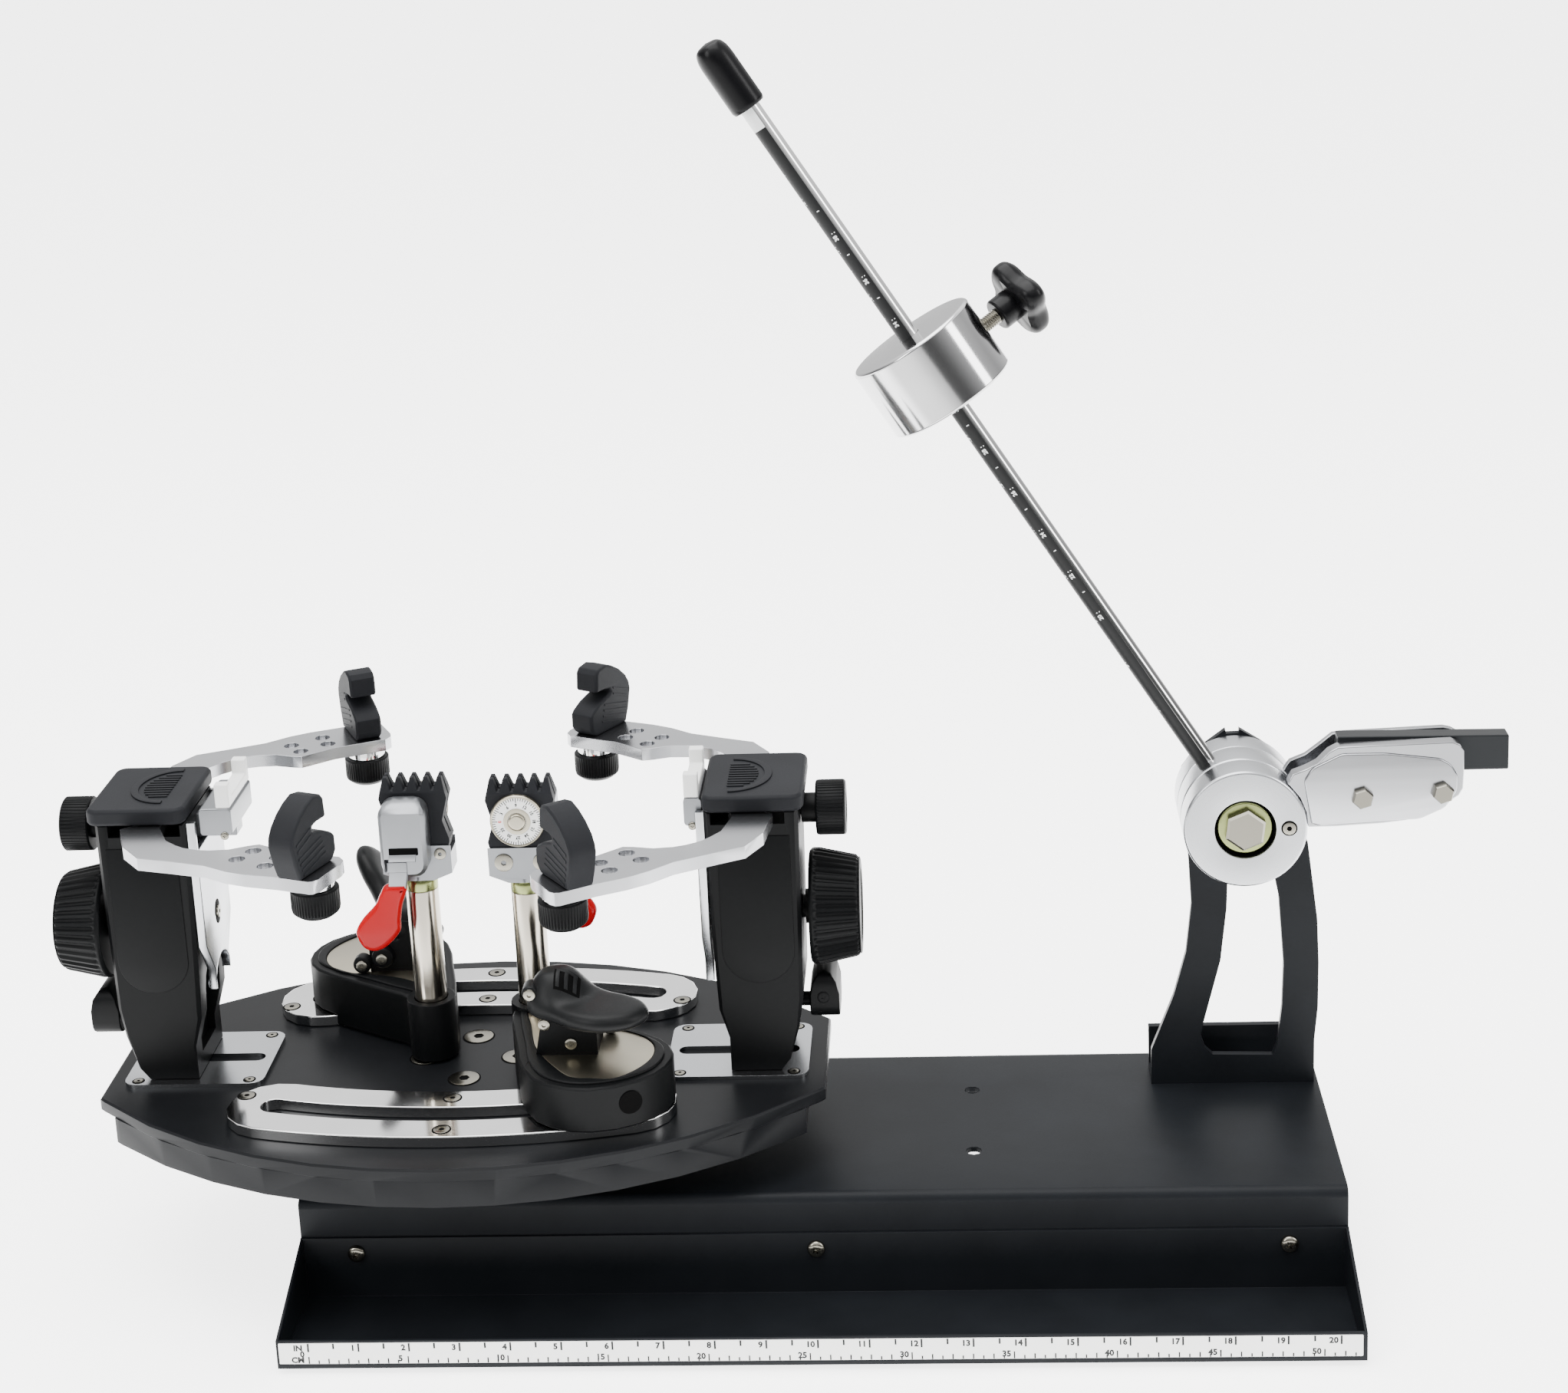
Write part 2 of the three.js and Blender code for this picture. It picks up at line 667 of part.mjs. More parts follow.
function smallKnob() {
  const x0 = runningGap - smallKnobShaftLength;
  const x1 = smallKnobNeckLength;
  const x2 = x1 + smallKnobLength;
  const edge = towerEdge * half;
  return moved(alongX(turned([
    [0, x0], [smallKnobShaft, x0], [smallKnobShaft, runningGap], [smallKnobNeck, runningGap],
    [smallKnobNeck, x1], [smallKnobRadius - edge, x1], [smallKnobRadius, x1 + edge],
    [smallKnobRadius, x2 - edge], [smallKnobRadius - edge, x2], [0, x2],
  ])), towerOuter, 0, smallKnobHeight);
}
function support(reach) {
  const inner = towerInner - reach;
  const outer = Math.min(inner + supportWide, towerInner - runningGap * 3);
  const tongueEnd = towerInner + supportTongueIn;
  const block = prismY(roundedBox(inner, outer, supportBottom, supportTop, towerEdge), -supportHalfDepth,
    supportHalfDepth);
  const tongue = cut(
    box(inner + towerEdge, tongueEnd, -supportTongueHalf, supportTongueHalf, tongueBottom, tongueTop),
    moved(alongX(rod(smallKnobShaft + runningGap, 0, supportTongueIn * 2, roundSegments * half)),
      towerInner - supportTongueIn * 0.1, 0, smallKnobHeight),
  );
  return join(block, tongue);
}
function yoke(reach) {
  const x0 = towerInner - reach + runningGap;
  const x1 = x0 + yokeWidth;
  const yEnd = supportHalfDepth - runningGap;
  return prismX([
    [-yEnd, supportTop], [yEnd, supportTop], [yEnd, yokeTop], [yEnd - yokeProng, yokeTop],
    [yEnd - yokeProng, supportTop + yokeBase], [yokeProng - yEnd, supportTop + yokeBase],
    [yokeProng - yEnd, yokeTop], [-yEnd, yokeTop],
  ], x0, x1);
}
function lockLever() {
  const x0 = towerOuter + runningGap * 2;
  const y0 = -lockLength * 0.4;
  const z0 = lockHeight - lockRise * 0.27;
  const sideOutline = roundedBox(y0, y0 + lockLength, z0, z0 + lockRise, lockRise * 0.3);
  const side = prismX(sideOutline, x0, x0 + lockThick);
  const front = lockOutlineShares.map(([x, z]) => [x0 + x * lockThick, z0 + z * lockRise]);
  const plate = meet(side, prismY(front, y0 - lockLength, y0 + lockLength * 2));
  const shaft = moved(alongX(rod(lockShaft, runningGap, lockShaftLength + towerThick * 0.08,
    roundSegments * half)), x0 - lockShaftLength - runningGap, 0, lockHeight);
  return join(plate, shaft);
}
for (const [name, side, reach] of [["left", -1, supportReachLeft], ["right", 1, supportReachRight]]) {
  piece(`tower_${name}`, toSide(tower(), side), blackPlastic);
  piece(`cap_${name}`, toSide(cap(), side), darkPlastic);
  piece(`big_knob_${name}`, toSide(bigKnob(), side), blackPlastic);
  piece(`small_knob_${name}`, toSide(smallKnob(), side), blackPlastic);
  piece(`support_${name}`, toSide(support(reach), side), castGrey);
  piece(`yoke_${name}`, toSide(yoke(reach), side), whitePlastic);
  piece(`lock_lever_${name}`, toSide(lockLever(), side), blackPlastic);
}

// Side arms: flat outline from the pivot eye to the pad seat
const armTop = towerTop - runningGap;
function arm(swing, sideX, sideY) {
  const body = times(armOutlineShares, armReach);
  const holes = times(armHoleShares, armReach).map(([x, y]) =>
    circle(x, y, armHoleRadius, roundSegments * half));
  holes.push(circle(armReach, 0, hookStem + runningGap, roundSegments * half));
  const eye = prism(circle(0, 0, armEyeRadius, roundSegments), armThick);
  const blade = join(prism(body, armThick, holes), eye);
  const flat = cut(blade, rod(armPinRadius + runningGap, -armThick, armThick * 2, roundSegments * half));
  if (sideX * sideY > 0) {
    flat.scale(1, -1, 1);
    flip(flat);
  }
  const angle = sideX < 0 ? sideY * swing * rad : Math.PI - sideY * swing * rad;
  flat.rotateZ(angle);
  return moved(flat, sideX * armPivotX, sideY * armPivotY, armTop - armThick);
}
function flip(geometry) {
  const index = geometry.index.array;
  for (let i = 0; i < index.length; i += 3) {
    const keep = index[i];
    index[i] = index[i + 1];
    index[i + 1] = keep;
  }
}
function armSeat(swing, sideX, sideY) {
  const angle = sideX < 0 ? sideY * swing * rad : Math.PI - sideY * swing * rad;
  return [sideX * armPivotX + Math.cos(angle) * armReach, sideY * armPivotY + Math.sin(angle) * armReach];
}
function hookPad() {
  const profile = times(hookProfileShares, hookDepth, hookHeight);
  const body = prismY(profile, -hookWidth * half, hookWidth * half, [], towerEdge * half);
  const stem = rod(hookStem, -armThick - hookCollar, towerEdge, roundSegments * half);
  return join(body, stem);
}
function hookKnob() {
  const top = -armThick - runningGap * half;
  const gripTopZ = top - hookCollar;
  const bottom = gripTopZ - hookKnobHeight;
  const collarRadius = hookKnobRadius * 0.85;
  const edge = towerEdge;
  const boreFloor = gripTopZ - runningGap;
  const inner = hookStem + runningGap;
  return turned([
    [0, bottom], [hookKnobRadius - edge * 1.5, bottom], [hookKnobRadius, bottom + edge * 1.5],
    [hookKnobRadius, gripTopZ], [collarRadius, gripTopZ], [collarRadius, top], [inner, top],
    [inner, boreFloor], [0, boreFloor],
  ], roundSegments);
}
for (const [code, sideX, sideY] of [["lf", -1, -1], ["lb", -1, 1], ["rf", 1, -1], ["rb", 1, 1]]) {
  const swing = armSwingAngle[code];
  const [x, y] = armSeat(swing, sideX, sideY);
  const seat = armTop;
  piece(`arm_${code}`, moved(arm(swing, sideX, sideY), tableX, 0, tableTop), satinSteel);
  const inward = Math.atan2(-sideY * Math.sin(hookLeanAngle * rad), -sideX * Math.cos(hookLeanAngle * rad))
    + hookTurnAngle[code] * rad;
  const pad = hookPad().rotateZ(inward);
  piece(`hook_${code}`, moved(pad, tableX + x, y, tableTop + seat), darkPlastic);
  piece(`hook_knob_${code}`, moved(hookKnob(), tableX + x, y, tableTop + seat), blackPlastic);
}

// String clamps: built with the key at the origin, post towards the turntable centre
const gripFrontY = headHalfDepth + gripDepth;
const redMiddle = redBarrel + redThick * half - gripFrontY;
const railDrop = railRadius - railMiddle;
function clampBase(keyX) {
  const outline = smooth(times(clampOutlineShares, clampPostX, clampPostY), 30);
  const upper = moved(prism(outline, clampTop - railThick - runningGap, [], towerEdge * half), 0, 0,
    railThick + runningGap);
  const keyY = -(Math.sqrt(railRadius * railRadius - keyX * keyX) - railDrop);
  const clearRadius = railRadius - railHalfWidth - clampSkirt;
  const skirtDisc = circle(-keyX, railDrop - keyY, clearRadius, fineSegments * 6);
  const skirtBlock = prism(outline, clampTop * half - clampSkirt);
  const skirt = moved(meet(skirtBlock, prism(skirtDisc, clampTop)), 0, 0, clampSkirt);
  const socket = moved(rod(clampSocketRadius, clampSkirt, clampSocketTop), -clampPostX, clampPostY, 0);
  const key = rod(clampKeyRadius, runningGap, railThick + towerEdge, roundSegments * half);
  const earX1 = -camX + clampEarLength * 0.45;
  const earX0 = earX1 - clampEarLength;
  const earY0 = runningGap + clampEarThick;
  const earY1 = earY0 + clampEarDepth;
  const crown = clampEarHeight - clampTop;
  const ears = prismY([
    [earX0, clampTop - towerEdge], [earX1, clampTop - towerEdge], [earX1, clampTop + crown * 0.45],
    [earX1 - crown * 0.3, clampTop + crown * 0.9], [-camX - crown * 0.12, clampEarHeight],
    [earX0 + crown * 0.12, clampEarHeight - crown * 0.05], [earX0, clampEarHeight - crown * 0.3],
  ], earY0, earY1);
  const gapInner = box(-camX - camRadius - towerEdge, earX1 + camLength, earY0 + clampEarThick,
    earY1 - clampEarThick, camHeight - camRadius - towerEdge, clampEarHeight + towerEdge);
  const boreRod = rod(postRadius + runningGap, clampSocketFloor, clampSocketTop * 2);
  const bore = moved(boreRod, -clampPostX, clampPostY, 0);
  const pinRod = rod(camPin + runningGap, -clampEarDepth, clampEarDepth * 2, roundSegments * half);
  const pinBore = moved(alongY(pinRod), -camX, earY0, camHeight);
  const body = cut(join(upper, skirt, socket, key, ears), gapInner, bore, pinBore);
  return [body, keyY, earY0 + clampEarThick, earY1 - clampEarThick, earY0, earY1];
}
function camLever(lift, y0, y1, pinY0, pinY1) {
  const gap = runningGap;
  const paddle = prismY(smooth(times(camOutlineShares, camLength), 20), y0 + gap, y1 - gap);
  const barrel = moved(alongY(rod(camRadius, y0 + gap, y1 - gap, roundSegments)), 0, 0, 0);
  const pin = alongY(rod(camPin, pinY0 + gap, pinY1 - gap, roundSegments * half));
  const lever = join(paddle, barrel, pin);
  lever.rotateY(-lift * rad);
  return moved(lever, -camX, 0, camHeight);
}
function clampHead() {
  const profile = [
    [-headHalf, headTop], [-headHalf, headBottom + headCollar * half], [-headCollar, headBottom],
    [headCollar, headBottom], [headHalf, headBottom + headCollar * half], [headHalf, headTop],
  ];
  const block = prismY(profile, -headHalfDepth, headHalfDepth);
  const collar = rod(headCollar, postTop, headBottom + towerEdge);
  const gripProfile = roundedBox(-gripOuter, gripInner, gripBottom, gripTop, gripCorner);
  const grip = prismY(gripProfile, -headHalfDepth - gripDepth, towerEdge - headHalfDepth, [], towerEdge);
  const gripHollow = box(-redInset - redWidth - runningGap, runningGap - redInset, -gripFrontY - towerEdge,
    redMiddle + redBarrel + runningGap, gripBottom - towerEdge, redHinge + redBarrel + runningGap);
  const seatX = jawHalf + runningGap;
  const seatY = jawHalfDepth + runningGap;
  const jawSeat = box(-seatX, seatX, -seatY, seatY, headTop - towerEdge * 2, gripTop * 2);
  return cut(join(block, collar, grip), gripHollow, jawSeat);
}
function clampJaw() {
  const toothCount = 5;
  const waist = 0.82;
  const bottom = headTop - towerEdge * 2 + runningGap * half;
  const tall = jawTop - bottom;
  const toJaw = ([x, z]) => [x * jawHalf, bottom + z * tall];
  const side = [[0.92, 0], [1, 0.16], [waist, 0.42], [1, 0.72]].map(toJaw);
  const points = side.map(([x, z]) => [-x, z]);
  const first = -jawToothPitch * (toothCount - 1) * half;
  for (let i = 0; i < toothCount; i += 1) {
    const x = first + i * jawToothPitch;
    points.push([x - jawToothPitch * 0.14, jawTop - jawToothDepth * 0.08]);
    points.push([x + jawToothPitch * 0.14, jawTop - jawToothDepth * 0.08]);
    if (i < toothCount - 1) {
      points.push([x + jawToothPitch * 0.4, jawTop - jawToothDepth]);
      points.push([x + jawToothPitch * 0.6, jawTop - jawToothDepth]);
    }
  }
  points.push(...side.reverse());
  const body = prismY(points.reverse(), -jawHalfDepth, jawHalfDepth);
  return cut(body, box(-jawHalf * 2, jawHalf * 2, -jawSlit, jawSlit, jawSlitBottom, jawTop * 2));
}
function redLever() {
  const outline = times(redOutlineShares, redLength).map(([x, z]) => [x, redHinge + z]);
  const plate = prismY(smooth(outline, 24), redMiddle - redThick * half, redMiddle + redThick * half);
  const below = box(-redLength, redLength, -gripFrontY * 2, 0, 0, gripBottom - runningGap);
  const tongue = box(-redInset - redWidth * 0.9, -redInset - redWidth * 0.1, redMiddle - redThick * half,
    redMiddle + redThick * half, gripBottom - redThick, redHinge);
  const barrelRod = rod(redBarrel, -redInset - redWidth, -redInset, roundSegments * half);
  const barrel = moved(alongX(barrelRod), 0, redMiddle, redHinge);
  return join(meet(plate, below), tongue, barrel);
}
function dial() {
  return moved(alongY(turned([
    [0, 0], [dialRadius, 0], [dialRadius, dialThick], [dialButton, dialThick],
    [dialButton, dialThick + dialButtonHeight], [0, dialThick + dialButtonHeight],
  ], fineSegments)), dialX, 0, dialHeight);
}
for (const [name, side, keyX, lift] of [
  ["left", -1, clampKeyXLeft, camLiftAngleLeft], ["right", 1, clampKeyXRight, camLiftAngleRight]]) {
  const [body, keyY, y0, y1, pinY0, pinY1] = clampBase(keyX);
  const seat = (geometry) => toSide(moved(geometry, keyX, keyY, 0), side);
  const onPost = (geometry) => toSide(
    moved(geometry.rotateZ(Math.PI), keyX - clampPostX, keyY + clampPostY, 0), side);
  piece(`clamp_base_${name}`, seat(body), blackPlastic);
  piece(`cam_lever_${name}`, seat(camLever(lift, y0, y1, pinY0, pinY1)), blackPlastic);
  piece(`clamp_post_${name}`, onPost(rod(postRadius, postBottom, postTop)), chrome);
  piece(`clamp_head_${name}`, onPost(clampHead()), castGrey);
  piece(`clamp_jaw_${name}`, onPost(clampJaw()), blackPlastic);
  piece(`clamp_lever_${name}`, onPost(redLever()), redVinyl);
  const face = dial();
  moved(face, 0, jawHalfDepth + runningGap, 0);
  piece(`clamp_dial_${name}`, onPost(face), whitePlastic);
}

// Tension head: bracket, drum, rod with sliding weight, gripper
const drumBack = drumFront + drumDisc * 3;
const bracketNear = drumBack + runningGap * 1.5;
const bracketFar = bracketNear + bracketSheet;
const bracketTall = drumAxis - baseTop;
const toBracket = ([x, z]) => [headX + x * bracketTall, baseTop + z * bracketTall];
function bracket() {
  const headArc = [];
  const atHead = (angle, radius) => headArc.push([
    headX + Math.cos(angle * rad) * radius, drumAxis + Math.sin(angle * rad) * radius]);
  [-10, 8, 26, 44, 62, notchFromAngle].forEach((angle) => atHead(angle, bracketHead));
  [notchFromAngle, notchToAngle].forEach((angle) => atHead(angle, bracketNotch));
  [notchToAngle, 118, 136, 154, 172, 190].forEach((angle) => atHead(angle, bracketHead));
  const outline = [...bracketRightShares.map(toBracket), ...headArc, ...bracketLeftShares.map(toBracket)];
  const plate = cut(prismY(outline, bracketNear, bracketFar), prismY(bracketWindowShares.map(toBracket),
    bracketNear - bracketSheet, bracketFar + bracketSheet));
  const x0 = headX + bracketLeftShares[bracketLeftShares.length - 1][0] * bracketTall;
  const x1 = headX + bracketRightShares[0][0] * bracketTall;
  const foot = prismX([
    [bracketNear, baseTop], [bracketNear + bracketFootDepth, baseTop],
    [bracketNear + bracketFootDepth, baseTop + bracketRise],
    [bracketNear + bracketFootDepth - bracketSheet, baseTop + bracketRise],
    [bracketNear + bracketFootDepth - bracketSheet, baseTop + bracketSheet],
    [bracketNear, baseTop + bracketSheet],
  ], x0, x1);
  const bore = moved(alongY(rod(boltRadius, -bracketSheet, bracketSheet * 3)), headX, bracketNear, drumAxis);
  return cut(join(plate, foot), bore);
}
piece("tension_bracket", bracket(), blackPowder);
const atDrum = (geometry, y) => moved(alongY(geometry), headX, y, drumAxis);
const boltEnd = drumDisc * 3 + bracketSheet * 2 + runningGap;
const washerNear = drumBoreDepth - boltWasherThick - runningGap * half;
const boltNear = drumBoreDepth - boltWasherThick - boltHeadThick;
piece("pivot_bolt", atDrum(turned([
  [0, boltNear], [boltHead, boltNear], [boltHead, washerNear],
  [boltWasher, washerNear], [boltWasher, drumBoreDepth - runningGap],
  [boltRadius, drumBoreDepth - runningGap], [boltRadius, boltEnd], [0, boltEnd],
]), drumFront), satinSteel);
const drumEdge = runningGap * 2;
const boreGap = boltRadius + runningGap;
piece("drum_front", atDrum(turned([
  [boreGap, drumBoreDepth], [drumBore, drumBoreDepth], [drumBore, 0], [drumRadius - drumEdge, 0],
  [drumRadius, drumEdge], [drumRadius, drumDisc - runningGap], [boreGap, drumDisc - runningGap],
  [boreGap, drumBoreDepth],
], fineSegments), drumFront), castGrey);

// The two rear discs carry the rod socket
const rodAngle = rodLeanAngle * rad;
function alongRod(geometry) {
  geometry.rotateY(-rodAngle);
  return moved(geometry, headX, drumFront + drumDisc * 1.5, drumAxis);
}
const socketStart = drumRadius - rodSeat;
const discStart = drumDisc + runningGap * half;
const discs = turned([
  [boreGap, discStart], [drumRadius, discStart], [drumRadius, drumDisc * 3], [boreGap, drumDisc * 3],
  [boreGap, discStart],
], fineSegments);
piece("drum_rear", cut(atDrum(discs, drumFront),
  alongRod(rod(rodRadius + runningGap * half, socketStart, drumRadius * 2, roundSegments))), castGrey);
piece("tension_rod", alongRod(rod(rodRadius, socketStart, rodLength, roundSegments)), chrome);
const capStart = rodLength - rodCapLength * 0.72;
const capBore = rodRadius + runningGap * 0.25;
const capDome = rodCapRadius * 0.55;
const capEnd = capStart + rodCapLength;
piece("rod_cap", alongRod(turned([
  [capBore, capStart], [rodCapRadius, capStart], [rodCapRadius, capEnd - rodCapRadius],
  [rodCapRadius * 0.93, capEnd - capDome], [rodCapRadius * 0.72, capEnd - capDome * 0.45],
  [rodCapRadius * 0.4, capEnd - capDome * 0.12], [0, capEnd],
  [0, rodLength + runningGap], [capBore, rodLength + runningGap], [capBore, capStart],
])), rubber);
const slideBore = rodRadius + runningGap;
const weightStart = weightAlong - weightThick * half;
const weightEnd = weightAlong + weightThick * half;
const weightBody = alongRod(turned([
  [slideBore, weightStart], [weightRadius - weightEdge, weightStart],
  [weightRadius, weightStart + weightEdge], [weightRadius, weightEnd - weightEdge],
  [weightRadius - weightEdge, weightEnd], [slideBore, weightEnd], [slideBore, weightStart],
], fineSegments));
function alongStar(geometry) {
  return alongRod(moved(alongX(geometry).rotateZ(starTurnAngle * rad), 0, 0, weightAlong));
}
const studBore = rod(starStud + runningGap, rodRadius * 2, weightRadius * 2, roundSegments * half);
const recess = rod(starRecess, weightRadius - starRecessDepth, weightRadius * 2);
piece("weight", cut(weightBody, alongStar(studBore), alongStar(recess)), chrome);

// Star knob with its stud
function starOutline() {
  const points = [];
  const steps = starLobes * 9;
  const depthShare = 0.19;
  for (let i = 0; i < steps; i += 1) {
    const angle = (i / steps) * full;
    const radius = starRadius * (1 - depthShare + depthShare * Math.cos(angle * starLobes));
    points.push([Math.cos(angle) * radius, Math.sin(angle) * radius]);
  }
  return points;
}
const hubStart = weightRadius + starGap;
const starStart = hubStart + starHubLength;
piece("star_knob", alongStar(join(
  rod(starStud, hubStart - starStudLength, hubStart + towerEdge, roundSegments * half),
  rod(starHub, hubStart, starStart + towerEdge),
  moved(prism(starOutline(), starThick, [], towerEdge), 0, 0, starStart),
)), blackPlastic);

// Gripper plates beside the drum and the sliding jaw
const gripperX = headX + drumRadius + runningGap * 2;
const gripperZ = drumAxis - gripperLength * 0.03;
const toGripper = ([x, z]) => [gripperX + x * gripperLength, gripperZ + z * gripperLength];
const drumClear = atDrum(rod(drumRadius + runningGap, -drumDisc, drumDisc * 4, fineSegments), drumFront);
const plateNear = gripperFront;
const plateFar = plateNear + gripperFrontPlate;
const rearNear = plateFar + gripperGap;
function gripperBody() {
  const below = gripperBelowShares.map(toGripper);
  const frontPlate = prismY([...below, ...gripperFrontShares.map(toGripper)], plateNear, plateFar);
  const rearOutline = [...below, ...gripperRearShares.map(toGripper)];
  const rearPlate = prismY(rearOutline, rearNear, rearNear + gripperRearPlate);
  const spacer = prismY(gripperSpacerShares.map(toGripper), plateFar - gripperRearPlate * half,
    rearNear + gripperRearPlate * half);
  return cut(join(frontPlate, rearPlate, spacer), drumClear);
}
piece("gripper", gripperBody(), castGrey);
const jawFar = rearNear - runningGap * 1.5;
piece("gripper_jaw", prismY(gripperJawShares.map(toGripper), plateFar + runningGap, jawFar), darkPlastic);

// Origin at the middle of the underside of the whole machine
const bounds = new THREE.Box3().setFromObject(assembly);
const middle = bounds.getCenter(new THREE.Vector3());
for (const mesh of assembly.children) {
  mesh.geometry.translate(-middle.x, -middle.y, -bounds.min.z);
}

export default assembly;
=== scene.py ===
"""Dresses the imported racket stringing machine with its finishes, fasteners, scales and studio."""

import math

import bmesh
import bpy
import numpy as np
from bpy.props import FloatProperty, FloatVectorProperty, IntProperty, PointerProperty
from mathutils import Matrix, Vector
from mathutils.geometry import tessellate_polygon


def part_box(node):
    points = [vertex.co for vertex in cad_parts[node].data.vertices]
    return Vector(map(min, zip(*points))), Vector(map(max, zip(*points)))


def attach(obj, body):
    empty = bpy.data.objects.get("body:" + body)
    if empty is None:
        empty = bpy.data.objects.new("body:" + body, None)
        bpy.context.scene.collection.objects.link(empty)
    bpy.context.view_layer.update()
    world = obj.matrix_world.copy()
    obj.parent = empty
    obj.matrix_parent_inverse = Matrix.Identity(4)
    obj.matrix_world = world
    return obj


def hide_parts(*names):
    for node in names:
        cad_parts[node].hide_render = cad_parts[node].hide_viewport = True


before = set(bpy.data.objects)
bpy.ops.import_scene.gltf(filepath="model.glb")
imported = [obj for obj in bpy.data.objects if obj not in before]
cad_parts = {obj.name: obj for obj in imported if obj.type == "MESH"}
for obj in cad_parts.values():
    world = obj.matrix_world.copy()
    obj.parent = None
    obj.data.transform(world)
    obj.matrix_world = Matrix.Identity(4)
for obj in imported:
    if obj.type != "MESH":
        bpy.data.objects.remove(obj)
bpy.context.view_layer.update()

bl_info = {
    "name": "Racket stringing machine dressing",
    "version": (1, 0, 0),
    "blender": (4, 5, 0),
    "location": "3D View > Sidebar > Stringing",
    "description": "Finishes, fasteners, scales and studio for a drop-weight stringing machine",
    "category": "Object",
}

MM = 0.001
FULL = 2 * math.pi
X, Y, Z = np.eye(3)
SIDES = (("left", -1), ("right", 1))
WHITE = (1, 1, 1, 1)
PAPER_EDGE = (-0.6, -0.22)   # where the floor's light fades out, in metres


def span(node):
    """Lowest and highest corners of a node at rest, in millimetres."""
    return [np.array(corner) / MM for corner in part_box(node)]


# Places that the CAD settles, in millimetres
base_low, base_high = span("base_channel")
table_low, table_high = span("turntable")
drum_low, drum_high = span("drum_front")
HOME = np.array([(base_low[0] + base_high[0]) / 2, base_low[1] + 71.6, 0.0])
TABLE = np.array([(table_low[0] + table_high[0]) / 2, (table_low[1] + table_high[1]) / 2, table_high[2]])
DRUM = np.array([(drum_low[0] + drum_high[0]) / 2, drum_low[1], (drum_low[2] + drum_high[2]) / 2])
ROD_FOOT = np.array([DRUM[0], drum_low[1] + 27.75, DRUM[2]])
ROD_LEAN = math.radians(32.4)
ROD_WAY = np.array([-math.sin(ROD_LEAN), 0.0, math.cos(ROD_LEAN)])
ROD_SIDE = np.array([math.cos(ROD_LEAN), 0.0, math.sin(ROD_LEAN)])
STAR_TURN = math.radians(25)
STAR_WAY = math.cos(STAR_TURN) * ROD_SIDE + math.sin(STAR_TURN) * Y
WEIGHT_ALONG = 284.5
WEIGHT_HALF = 19.5
WEIGHT_RADIUS = 34.0
THREAD_PITCH = 1.25
FILM_RADIUS = 5.24       # outside of the printed film on the rod
TOWER_OUT = 182.5
TOWER_IN = 134.0
CAP_TOP = 157.5
SCREW_ROOM = 2.6         # a tower's underside above the turntable
CLAMP_TOP = 31.0
POST_FROM_KEY = np.array([38, 67])
LEFT_LIFT = 56           # the left cam lever's own turn at rest, in degrees
DIAL_FACE = 2.8
STRIP_ZERO = 252.15      # zero of both scales, left of the base's middle
STRIP_THICK = 0.4
STRIP_FOOT = 6.1
STRIP_TOP = 17.2
INCHES = 20
HALF_CENTIMETRES = 104
PRINT = 0.06             # thickness of raised ink
WELD = 0.001             # points this near become one


def linear(code, alpha=1.0):
    """sRGB hex to linear: c / 12.92 below 0.04045, else ((c + 0.055) / 1.055) to the power 2.4."""
    c = np.array([int(code[i:i + 2], 16) for i in (1, 3, 5)]) / 255
    c = np.where(c <= 0.04045, c / 12.92, ((c + 0.055) / 1.055) ** 2.4)
    return (*map(float, c), alpha)


# Materials


def add(tree, kind, settings=(), values=(), links=()):
    """Adds one node: settings are its own properties, values its sockets, links its incoming wires."""
    node = tree.nodes.new(kind)
    for key, value in dict(settings).items():
        setattr(node, key, value)
    for key, value in dict(values).items():
        node.inputs[key].default_value = value
    for key, source in dict(links).items():
        tree.links.new(source, node.inputs[key])
    return node


